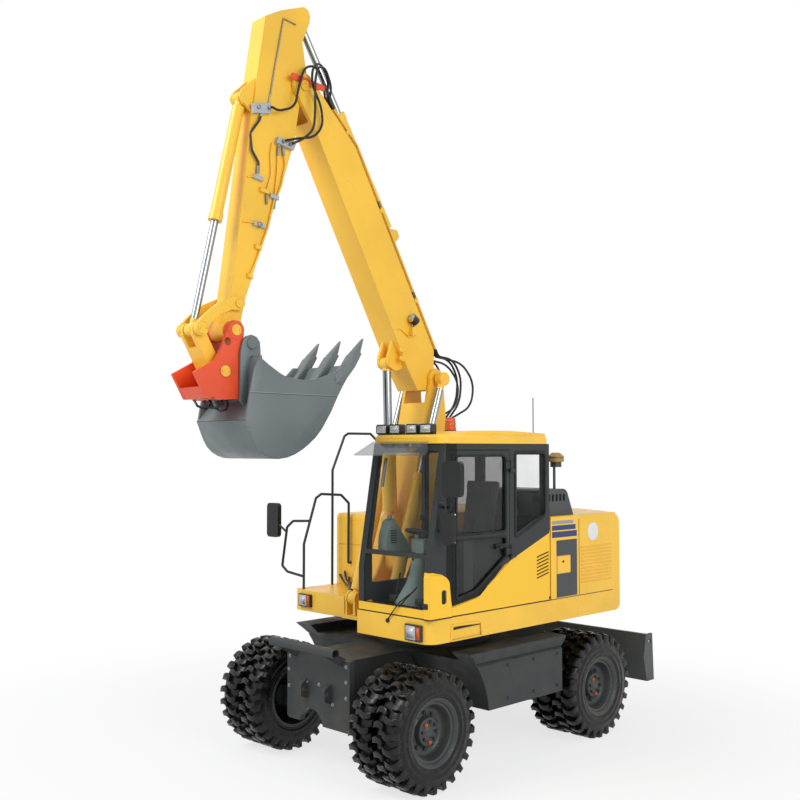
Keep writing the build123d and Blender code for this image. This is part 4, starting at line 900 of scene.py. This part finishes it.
# %% One bolt
washer = round_edges(disc("washer", 16, 0.019, 0.004, 0.002), 0.001)
head = disc("head", 6, 0.014, 0.010, 0.009)
pick(head, lambda normal: normal.y > 0.9)
bpy.ops.transform.resize(value=(0.88, 1, 0.88), center_override=(0, 0.014, 0))
round_edges(head, 0.0015)
bolt = joined("bolt", [washer, head])
forward, plate_face, box_face = -math.pi / 2, 1.56, 1.205
front_bolts = ((-0.419, 0.89), (-0.418, 0.734), (0.025, 0.811), (0.405, 0.889), (0.405, 0.745), (-0.405, 1.02),
               (0.405, 1.03), (-0.15, 0.811), (0.22, 0.66))
repeated("front_plate_bolts", bolt, [(plate_face, y, z) for y, z in front_bolts], "chassis", bolt_steel,
         forward)
box_bolts = [(x, z) for x in (-0.56, -0.18, 0.22) for z in (0.66, 0.97)]
for side_name, y, turn in (("left", box_face, 0.0), ("right", -box_face, math.pi)):
    repeated("side_box_bolts_" + side_name, bolt, [(x, y, z) for x, z in box_bolts], "chassis", chassis_grey,
             turn)
print("bolts placed", len(front_bolts) + 2 * len(box_bolts))

# %% [markdown]
# ## Seat
# The seat is two stuffed pads, a cushion and a tall back, on a black base. Each pad starts as a block, slightly too
# small. It is remeshed to even cloth, and a short cloth simulation with air pressure and no gravity swells it, the
# way foam fills a cover. A cap on the movement keeps it in the seat's space, and seams are pressed in afterwards.

# %% Seat cloth
seat_cloth, tree, shader, place = blank("seat_cloth")
weave = wire(tree, "TexVoronoi", {}, {"Vector": place, "Scale": 900.0}).outputs["Distance"]
folds = cloud(tree, place, 7.0, 5.0)
tone = blend(tree, fade(tree, folds, 0.35, 0.7), (0.135, 0.150, 0.143, 1), (0.085, 0.095, 0.091, 1))
tone = blend(tree, fade(tree, weave, 0.2, 0.7, 0.0, 0.05), tone, (0.05, 0.056, 0.054, 1))
creases = bumps(tree, folds, 0.35, 0.012)
feed(tree, shader, {"Base Color": tone, "Roughness": 0.85, "Sheen Weight": 0.25,
                    "Normal": bumps(tree, weave, 0.1, 0.0001, creases)})
most_swell, seam_half, seam_depth = 0.024, 0.016, 0.006


def stuffed(name, low, high, lean, seams):
    """A pad between two corners, leant back, swollen by cloth pressure and pressed in along its seams."""
    piece = plate(name, low, high, 0.022)
    piece.data.transform(lean)
    applied(piece, "REMESH", mode="VOXEL", voxel_size=0.009)
    before = [vertex.co.copy() for vertex in piece.data.vertices]
    cloth = piece.modifiers.new("cloth", "CLOTH")
    cloth.settings.use_pressure = True
    cloth.settings.uniform_pressure_force = 4.0
    cloth.settings.effector_weights.gravity = 0.0
    cloth.settings.tension_stiffness = 12
    for frame_number in range(1, 21):
        bpy.context.scene.frame_set(frame_number)
    only(piece)
    bpy.ops.object.modifier_apply(modifier=cloth.name)
    bpy.context.scene.frame_set(1)
    for vertex, start in zip(piece.data.vertices, before):
        moved = vertex.co - start
        if moved.length > most_swell:
            vertex.co = start + moved.normalized() * most_swell
        for y in seams:
            gap = abs(vertex.co.y - slew_axis.y - y)
            if gap < seam_half:
                vertex.co.x -= seam_depth * (1 - gap / seam_half)
    applied(piece, "SUBSURF", levels=1, render_levels=1)
    bpy.ops.object.shade_smooth()
    return piece


def lean_about(x, z, degrees):
    """A turn about a line across the seat's middle."""
    spot = Matrix.Translation(at(x, 0.76, z))
    return spot @ Matrix.Rotation(math.radians(degrees), 4, "Y") @ spot.inverted()


seams = (0.62, 0.90)
cushion = stuffed("seat_cushion", (0.19, 0.55, 2.035), (0.585, 0.97, 2.105), lean_about(0.4, 2.07, -2), seams)
dress(cushion, "upper_body", seat_cloth)
back = stuffed("seat_back", (0.115, 0.555, 2.13), (0.195, 0.965, 2.73), lean_about(0.16, 2.12, -11), seams)
dress(back, "upper_body", seat_cloth)
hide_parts("seat")
print("seat pads", [tuple(round(v, 3) for v in piece.dimensions) for piece in (cushion, back)])

# %% [markdown]
# ## Inside the cab
# Through the windscreen one sees a grey-green console with cooling slats and a knob, the column's bottle-shaped
# cover, the head of the column with its stalks, and the pedals. Each starts as a block or a spun profile.

# %% Console, column and pedals
console = panel("front_console", ((1.16, 2.03), (1.15, 2.20), (1.10, 2.33), (1.05, 2.36), (1.00, 2.30), (0.82, 2.06),
                                  (0.70, 2.03)), 0.40, 0.11, 0.012, 0.006)
dress(console, "upper_body", station_finish)
slats = [plate("slat", (1.02, 0.511, 2.13 + 0.022 * index), (1.10, 0.516, 2.139 + 0.022 * index), 0.001)
         for index in range(6)]
dress(joined("console_slats", slats), "upper_body", seal_black)
knob = turned("console_knob", ((0.0, 0.0), (0.0, 0.026), (0.030, 0.024), (0.036, 0.018), (0.036, 0.0)),
              at(1.06, 0.455, 2.355), "Z", 24)
dress(knob, "upper_body", console_green)
cover_rows = ((0.0, 0.0), (0.0, 0.150), (0.03, 0.152), (0.10, 0.125), (0.20, 0.085), (0.30, 0.066), (0.42, 0.062),
              (0.42, 0.0))
column_cover = turned("column_cover", cover_rows, at(1.065, 0.76, 1.562), "Z", 32)
column_cover.data.transform(lean_about(1.065, 1.60, -13))
dress(column_cover, "upper_body", console_green)
column_head = plate("column_head", (0.89, 0.675, 2.045), (1.00, 0.845, 2.185), 0.02)
pick(column_head, lambda normal: normal.z < -0.9)
bpy.ops.transform.resize(value=(0.7, 0.6, 1), center_override=at(0.95, 0.76, 2.06))
dress(settle(column_head, "column_head"), "upper_body", console_green)
stalks = [tube("stalk", ((0.93, 0.84, 2.17), (0.93, 0.92, 2.20), (0.92, 0.95, 2.215)), 0.007),
          tube("stalk", ((0.93, 0.68, 2.17), (0.93, 0.60, 2.19)), 0.007)]
stalks.append(plate("pedal", (1.10, 0.56, 1.60), (1.17, 0.65, 1.66), 0.006))
stalks.append(plate("pedal", (1.10, 0.90, 1.60), (1.17, 0.99, 1.66), 0.006))
stalks.append(tube("pedal_bar", ((1.12, 0.60, 1.63), (1.08, 0.60, 1.80), (1.06, 0.60, 1.86)), 0.008))
dress(joined("stalks_and_pedals", stalks), "upper_body", black)
inner_panel = panel("left_console_panel", ((0.11, 1.66), (0.62, 1.66), (0.635, 2.14), (0.52, 2.185), (0.11, 2.185)),
                    1.142, 0.010, 0.02, 0.003)
dress(inner_panel, "upper_body", console_green)
print("console slats", len(slats), "cover height", round(column_cover.dimensions.z, 3))

# %% [markdown]
# ## Window seals and wiper
# Every pane sits in a black rubber strip with round corners. Those on the left face are seen best: the tall rear
# quarter window and the two panes of the door. The wiper is parked across the lower windscreen.

# %% Window seals
left_glass = 1.236
quarter = ((-0.352, 2.356), (0.152, 2.148), (0.152, 3.002), (-0.352, 3.002))
quarter_seal = seal("quarter_window_seal", quarter, left_glass, 0.010, 0.030, 0.055)
dress(quarter_seal, "upper_body", seal_black)
door_high_pane = ((0.267, 2.226), (0.993, 2.226), (0.993, 2.968), (0.267, 2.968))
door_low_pane = ((0.267, 1.995), (0.712, 1.712), (0.993, 1.657), (0.993, 2.204), (0.267, 2.204))
strips = [seal("strip", door_high_pane, left_glass, 0.009, 0.024, 0.05),
          seal("strip", door_low_pane, left_glass, 0.009, 0.024, 0.04)]
dress(joined("door_window_seals", strips), "door", seal_black)
handle = [tube("grip", ((0.30, 1.236, 2.10), (0.30, 1.262, 2.10), (0.40, 1.262, 2.10), (0.40, 1.236, 2.10)), 0.008),
          plate("lock", (0.27, 1.238, 2.075), (0.43, 1.246, 2.125), 0.006)]
dress(joined("door_handle", handle), "door", black)
wiper = [tube("arm", ((1.338, 0.714, 1.468), (1.352, 0.80, 1.555), (1.348, 0.874, 1.640), (1.340, 1.00, 1.727)),
              0.006, 8),
         tube("blade", ((1.336, 0.86, 1.600), (1.334, 0.96, 1.690), (1.334, 1.085, 1.795)), 0.007, 8),
         tube("spindle", ((1.328, 0.714, 1.462), (1.346, 0.714, 1.462)), 0.020, 12)]
dress(joined("windscreen_wiper", wiper), "upper_body", black)
latch = plate("sill_latch", (1.325, 1.165, 1.612), (1.350, 1.225, 1.662), 0.006)
dress(latch, "upper_body", black)
strut = tube("pillar_strut", ((1.128, 0.425, 2.66), (1.098, 0.430, 2.84), (1.082, 0.432, 2.93)), 0.016, 12)
dress(strut, "upper_body", bolt_steel)
print("seals", len(strips) + 1)

# %% [markdown]
# ## Lamps and mirrors
# The work lamps are black boxes with a chromed dish behind ribbed glass. Each lens starts as a block: its front is
# inset and raised twice, for the rim and a low dome. The beacon is a spun amber dome on a black foot.

# %% Lamp lenses


def lamp_glass(name, low, high, rim, dome):
    """A lens that faces forward between two corners: a raised rim round a domed glass."""
    piece = plate(name, low, high, 0.003)
    pick(piece, lambda normal: normal.x > 0.99)
    for _ in range(2):
        bpy.ops.mesh.inset(thickness=rim)
        push((dome, 0, 0))
    clear()
    return piece


lens_sets = (
    ("roof_lamp_lenses", clear_lens, 0.010, 0.003,
     [((1.112, y - 0.060, 3.170), (1.119, y + 0.060, 3.238)) for y in (0.40, 0.58, 0.80, 0.98)]),
    ("front_lamp_lenses", clear_lens, 0.010, 0.003,
     [((1.357, 0.968, 1.334), (1.364, 1.088, 1.454)), ((0.877, -1.108, 1.360), (0.884, -0.992, 1.470))]),
    ("turn_signal_lenses", amber_lens, 0.005, 0.002,
     [((1.357, 1.096, 1.340), (1.364, 1.140, 1.448)), ((0.877, -0.986, 1.362), (0.884, -0.942, 1.468))]),
)
for name, finish, rim, dome, corners in lens_sets:
    lenses = [lamp_glass("lens", low, high, rim, dome) for low, high in corners]
    dress(joined(name, lenses), "upper_body", finish)
    print(name, len(lenses))
dish_rows = ((0.0, 0.0), (0.0, 0.041), (0.006, 0.041), (0.010, 0.034), (0.016, 0.020), (0.018, 0.0))
dish = turned("boom_lamp_lens", dish_rows, Vector((0, 0, 0)), "Z", 24)
aim = Vector((0.068, 0, 0.040)).to_track_quat("Z", "Y").to_matrix().to_4x4()
dish.data.transform(Matrix.Translation(at(0.440, 0.143, 4.362)) @ aim)
dress(dish, "upper_boom", clear_lens)
beacon = at(0.380, 0.620, 3.150)
dome_rows = ((0.050, 0.0), (0.050, 0.056), (0.060, 0.058), (0.090, 0.056), (0.092, 0.052), (0.098, 0.052),
             (0.100, 0.056), (0.130, 0.054), (0.132, 0.050), (0.138, 0.050), (0.140, 0.054), (0.160, 0.050),
             (0.176, 0.036), (0.182, 0.0))
dress(turned("beacon_dome", dome_rows, beacon, "Z", 32), "upper_body", amber_lens)
foot_rows = ((0.0, 0.0), (0.0, 0.066), (0.014, 0.066), (0.040, 0.062), (0.052, 0.062), (0.052, 0.0))
dress(turned("beacon_foot", foot_rows, beacon, "Z", 32), "upper_body", black)
print("beacon", [round(v, 3) for v in beacon])

# %% [markdown]
# Each mirror's glass is a thin plate with rounded corners, set against the housing's rear face.

# %% Mirror glass
glasses = [plate("glass", (0.685, -1.845, 2.050), (0.690, -1.675, 2.390), 0.012),
           plate("glass", (1.220, 1.345, 2.620), (1.2255, 1.535, 2.892), 0.012),
           plate("glass", (1.195, 1.304, 2.196), (1.2005, 1.420, 2.450), 0.012)]
dress(joined("mirror_glasses", glasses), "upper_body", mirror_glass)
print("mirrors", len(glasses))

# %% [markdown]
# ## Plates and trim on the upper body
# The rear housing has a blank white disc and a key lock on its latch. A slanted step is pressed into the skirt
# below the cab, with a black sheet of painted shade in its slot, and thin black plates in the louvres are painted
# shade.

# %% Disc, lock, louvres and step
disc_rows = ((0.0, 0.0), (0.0, 0.094), (0.0015, 0.095), (0.003, 0.094), (0.003, 0.0))
dress(turned("blank_disc", disc_rows, at(-1.147, 1.2395, 2.158), "Y", 48), "upper_body", white_plate)
lock_rows = ((0.0, 0.0), (0.0, 0.013), (0.004, 0.013), (0.006, 0.009), (0.006, 0.0))
lock = [turned("key", lock_rows, at(*spot), "Y", 20) for spot in ((-0.615, 1.2465, 1.885), (-0.395, 1.2395, 1.545))]
dress(joined("panel_locks", lock), "upper_body", seal_black)
# Thin black plates set into the louvres are painted shade for their dark insides.
shade = block("shade", (0, 0, 0), (0.20, 0.002, 0.013))
pick(shade, lambda normal: normal.y > 0.9)
bpy.ops.mesh.inset(thickness=0.002)
only(shade).data.transform(Matrix.Rotation(math.atan2(0.042, 0.195), 4, "Y"))
repeated("cab_louvre_shades", shade, [(-0.2875, 1.2292, 1.7735 + 0.034 * index) for index in range(7)],
         "upper_body", seal_black)
step_corners = ((0.640, 1.300), (1.075, 1.300), (1.060, 1.455), (0.650, 1.440))
recess = panel("skirt_step", step_corners, 1.236, 0.012, 0.015, 0.004)
pick(recess, lambda normal: normal.y > 0.9)
bpy.ops.mesh.inset(thickness=0.020)
push((0, -0.010, 0))
dress(recess, "upper_body", yellow)
# A thin black sheet in the step's slot is painted shade.
slot_corners = ((0.66, 1.412), (1.04, 1.404), (1.04, 1.424), (0.66, 1.431))
slot_shade = panel("step_slot_shade", slot_corners, 1.243, 0.007, 0.005, 0.002)
dress(slot_shade, "upper_body", seal_black)
print("step", [round(v, 3) for v in recess.dimensions])

# %% [markdown]
# ## Pins and caps
# Each big pin of the boom ends in a round plate held by two bolts. They are yellow, and on the red coupler they
# stand out. One cap is spun and copied to the coupler, the upper boom and the lever.

# %% Pin caps
cap_rows = ((0.0, 0.0), (0.0, 0.050), (0.008, 0.050), (0.012, 0.046), (0.012, 0.022), (0.009, 0.018), (0.009, 0.0))
cap = turned("cap", cap_rows, Vector((0, 0, 0)), "Y", 32)
small_bolt = copied(bolt, "small_bolt", (0, 0, 0))
small_bolt.data.transform(Matrix.Scale(0.6, 4))
cap_bolts = [copied(small_bolt, "cap_bolt", (0.032 * side, 0.011, 0.0)) for side in (-1, 1)]
cap = joined("cap", [cap] + cap_bolts)
# frame piece whose left face carries the caps, its body, the caps' name, and their x and z
for node, body, name, spots in (
    ("coupler", "bucket", "coupler_pin_caps", ((2.613, 4.056), (2.726, 3.690))),
    ("upper_boom", "upper_boom", "boom_pin_caps", ((1.83, 6.43),)),
    ("lever", "lever", "lever_pin_caps", ((2.945, 4.046),)),
):
    y = left_side(node) - 0.001
    repeated(name, cap, [(x, y, z) for x, z in spots], body, yellow)
    print(name, "at y", round(y, 3))

# %% [markdown]
# ## Bucket
# The bucket is a bent plate between two cut side plates. The bent plate is one edge, extruded point by point along
# the side's outline, drawn out across the machine and thickened with Solidify. The side plates are cut sheets with a
# hollowed mouth. Ears carry the pin, and the teeth are cast points pushed on wedge adapters.

# %% Bent wall and side plates
bucket_low, bucket_high, side_thickness, cutter_thickness = -0.420, 0.320, 0.025, 0.012
# the side's outline in x and z: along the mouth, under the bucket, and up the rear edge
mouth = ((2.494, 3.818), (2.400, 3.757), (2.279, 3.690), (2.214, 3.662), (2.100, 3.645), (1.981, 3.640),
         (1.880, 3.650), (1.796, 3.671), (1.700, 3.704), (1.606, 3.741), (1.535, 3.809), (1.409, 3.807))
under = ((1.475, 3.699), (1.545, 3.600), (1.605, 3.502), (1.684, 3.361), (1.794, 3.203), (1.865, 3.128),
         (1.947, 3.065), (2.020, 3.018), (2.097, 2.980), (2.185, 2.951), (2.273, 2.939), (2.350, 2.943),
         (2.417, 2.962), (2.480, 2.996), (2.530, 3.042), (2.570, 3.105), (2.600, 3.171), (2.642, 3.265))
rear_edge = ((2.600, 3.485), (2.549, 3.713))
wall_line = ((1.409, 3.807), *under, (2.500, 3.430), (2.485, 3.815))


def bent_wall(name, line, low, high, thickness):
    """A sheet along a line of x and z, drawn out between two y and thickened inwards."""
    piece = drawn(name, [at(x, high, z) for x, z in line])
    bpy.ops.mesh.select_mode(type="EDGE")
    bpy.ops.mesh.select_all(action="SELECT")
    push((0, low - high, 0))
    outward(piece)
    applied(piece, "SOLIDIFY", thickness=thickness, offset=0.0)
    return round_edges(piece, 0.003)


bucket_parts = [bent_wall("wall", wall_line, bucket_low + 0.004, bucket_high - 0.004, 0.018)]
side_outline = (*mouth, *under, *rear_edge)
for y in (bucket_low, bucket_high - side_thickness):
    bucket_parts.append(panel("side", side_outline, y, side_thickness, 0.0, 0.004))
cutter = ((1.409, 3.812), (1.535, 3.812), (1.606, 3.744), (1.640, 3.660), (1.560, 3.610), (1.475, 3.699))
for y in (bucket_low - 0.008, bucket_high - 0.004):
    bucket_parts.append(panel("side_cutter", cutter, y, cutter_thickness, 0.0, 0.003))
ear = ((2.587, 3.860), (2.560, 3.965), (2.525, 4.008), (2.468, 4.025), (2.412, 4.008), (2.376, 3.965), (2.366, 3.847),
       (2.436, 3.658), (2.462, 3.430), (2.533, 3.380), (2.589, 3.446))
pin_rows = ((0.0, 0.0), (0.0, 0.052), (0.012, 0.052), (0.018, 0.044), (0.018, 0.0))
for y, facing in ((0.135, 1), (-0.262, -1)):
    bucket_parts.append(panel("ear", ear, y, 0.027, 0.0, 0.005))
    rows = [(distance * facing, radius) for distance, radius in pin_rows]
    bucket_parts.append(turned("pin", rows, at(2.467, y + (0.026 if facing > 0 else 0.001), 3.945), "Y", 32))
for y in (0.162, -0.418):
    bucket_parts.append(plate("gusset", (2.470, y, 3.46), (2.486, y + 0.156, 3.83), 0.003))
bucket_parts.append(plate("strip", (2.444, 0.164, 3.50), (2.470, 0.190, 3.84), 0.004))
print("bucket parts", len(bucket_parts))

# %% [markdown]
# Three teeth stand on the lip. The adapter is a wedge whose cheeks are inset and spread, and the point narrows to its
# tip. All parts are joined to one piece, because a bucket is one weldment.

# %% Teeth on their adapters
adapter_side = ((1.520, 3.640), (1.385, 3.790), (1.300, 3.922), (1.345, 3.946), (1.413, 3.903), (1.478, 3.815),
                (1.640, 3.625))
point_side = ((1.330, 3.900), (1.305, 3.935), (1.245, 4.073), (1.352, 3.962), (1.392, 3.925), (1.396, 3.900))
adapter_half, point_half = 0.050, 0.038
for y in (-0.375, -0.050, 0.275):
    adapter = panel("adapter", adapter_side, y - adapter_half, 2 * adapter_half)
    pick(adapter, lambda normal: abs(normal.y) > 0.9)
    bpy.ops.mesh.inset(thickness=0.012)
    bpy.ops.transform.resize(value=(1, 1.12, 1), center_override=at(1.45, y, 3.78))
    clear()
    bucket_parts.append(round_edges(adapter, 0.004))
    point = panel("point", point_side, y - point_half, 2 * point_half)
    edit(point, "VERT")
    bpy.ops.mesh.select_all(action="DESELECT")
    sheet = bmesh.from_edit_mesh(point.data)
    for corner in sheet.verts:
        corner.select_set(corner.co.z > 4.0)
    bmesh.update_edit_mesh(point.data)
    bpy.ops.transform.resize(value=(1, 0.45, 1), center_override=at(1.243, y, 4.075))
    clear()
    bucket_parts.append(round_edges(point, 0.004))
curved_bucket = joined("curved_bucket", bucket_parts)
dress(curved_bucket, "bucket", bucket_finish)
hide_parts("bucket")
print("bucket triangles", triangles(curved_bucket))

# %% [markdown]
# The coupler is locked by a small cylinder, and its hoses hang under it in short loops.

# %% Hoses under the coupler
loop_paths = (
    ((2.86, 0.02, 3.43), (2.88, 0.05, 3.39), (2.84, 0.09, 3.37), (2.78, 0.11, 3.375), (2.74, 0.11, 3.41),
     (2.73, 0.09, 3.45)),
    ((2.80, 0.0, 3.44), (2.80, 0.06, 3.38), (2.75, 0.10, 3.345), (2.69, 0.10, 3.36), (2.66, 0.08, 3.40),
     (2.65, 0.05, 3.45)),
    ((2.90, -0.08, 3.44), (2.90, -0.03, 3.39), (2.85, 0.0, 3.36), (2.79, -0.01, 3.38), (2.76, -0.04, 3.44)),
)
lines("coupler_hose_loops", loop_paths, 0.011, 10, "bucket", hose_black)
print("hose loops", len(loop_paths))

# %% [markdown]
# ## Pipes on the boom and arm
# A thin pipe runs down the arm's front edge, the boom's lamp has a short cable, and steel nipples join the pipes and
# hoses on the arm's left face to their blocks.

# %% Small pipes
arm_pipe_y = 0.060
# x and z down the arm, and how much further out the pipe stands
edge_line = ((1.905, 7.003, 0), (2.055, 7.018, 0), (2.100, 6.786, 0), (2.160, 6.489, 0), (2.199, 6.277, 0),
             (2.225, 6.165, 0.004))
edge_path = [(x, arm_pipe_y + further, z) for x, z, further in edge_line]
lines("arm_edge_line", [edge_path], 0.007, 8, "arm", bolt_steel)
cable_path = ((0.392, 0.150, 4.19), (0.44, 0.118, 4.165), (0.50, 0.104, 4.20), (0.56, 0.102, 4.235),
              (0.602, 0.101, 4.225))
lines("lamp_cable", [cable_path], 0.007, 8, "upper_boom", yellow)
boss_rows = ((0.0, 0.0), (0.0, 0.030), (0.022, 0.028), (0.026, 0.022), (0.026, 0.0))
bosses = [turned("boss", boss_rows, at(0.540, 0.0945, z), "Y", 24) for z in (3.935, 4.020)]
dress(joined("boom_bosses", bosses), "upper_boom", yellow)
# start, end and radius of the steel nipples on the pipes and hoses of the arm's left face
nipples = (
    ((2.110, 0.068, 5.80), (2.116, 0.068, 5.71), 0.014), ((2.060, 0.068, 5.80), (2.048, 0.068, 5.72), 0.014),
    ((2.345, 0.068, 5.50), (2.342, 0.071, 5.57), 0.017), ((2.245, 0.066, 5.33), (2.238, 0.066, 5.24), 0.013),
    ((2.150, 0.066, 5.29), (2.160, 0.066, 5.21), 0.014), ((2.000, 0.094, 5.835), (2.000, 0.128, 5.835), 0.017),
    ((2.080, 0.094, 5.846), (2.080, 0.128, 5.846), 0.017), ((2.245, 0.094, 6.120), (2.245, 0.128, 6.120), 0.017),
    ((2.360, 0.094, 6.100), (2.360, 0.110, 6.100), 0.020), ((2.330, 0.060, 5.036), (2.330, 0.100, 5.036), 0.026),
)
fittings = [tube("nipple", (start, end), radius, 6) for start, end, radius in nipples]
dress(joined("pipe_nipples", fittings), "arm", bolt_steel)
# pipes that cross the arm's left face to its front edge, and one beside the lower pair
crossings = (
    ((2.300, 0.062, 5.462), (2.380, 0.064, 5.470), (2.455, 0.060, 5.455)),
    ((2.300, 0.062, 5.034), (2.400, 0.066, 5.050), (2.500, 0.060, 5.045)),
    ((2.180, 0.068, 5.82), (2.200, 0.068, 5.70), (2.190, 0.068, 5.52), (2.240, 0.068, 5.37)),
)
lines("arm_crossing_pipes", crossings, 0.008, 8, "arm", yellow)
print("nipples", len(fittings), "crossing pipes", len(crossings))

# %% [markdown]
# Four hoses run over the right deck from the boom's bay to the tank. A thin black sheet on the cab's front corner
# is painted shade for the finger slot, and a low crown stiffens the roof.

# %% Deck hoses, finger slot and roof crown
runs = (
    ((0.24, -1.18, 1.62), (0.27, -1.10, 1.57), (0.36, -0.95, 1.548), (0.50, -0.72, 1.545), (0.66, -0.44, 1.56)),
    ((0.24, -1.10, 1.66), (0.29, -1.02, 1.59), (0.40, -0.82, 1.548), (0.46, -0.66, 1.545), (0.62, -0.43, 1.59)),
    ((0.24, -1.02, 1.60), (0.32, -0.94, 1.56), (0.34, -0.80, 1.552), (0.52, -0.60, 1.548), (0.68, -0.50, 1.55)),
    ((0.24, -0.92, 1.64), (0.34, -0.84, 1.58), (0.44, -0.76, 1.552), (0.60, -0.62, 1.548), (0.70, -0.44, 1.58)),
)
lines("deck_hoses", runs, 0.012, 10, "upper_body", hose_black)
finger_corners = ((1.130, 1.645), (1.192, 1.645), (1.192, 1.768), (1.130, 1.768))
# A thin black sheet on the finger slot is painted shade.
finger_recess_shade = panel("finger_slot_painted_shade", finger_corners, 1.2405, 0.002, 0.02)
dress(finger_recess_shade, "upper_body", seal_black)
crown_corners = ((-0.40, 3.145), (-0.36, 3.172), (0.20, 3.192), (0.70, 3.188), (0.93, 3.150), (0.93, 3.145))
crown = panel("roof_crown", crown_corners, 0.350, 0.860, 0.0, 0.012)
dress(crown, "upper_body", yellow)
print("roof crown", [round(v, 3) for v in crown.dimensions])

# %% Finish
for spare in (nut, bolt, shade, cap, small_bolt):
    bpy.data.objects.remove(spare)
clear()
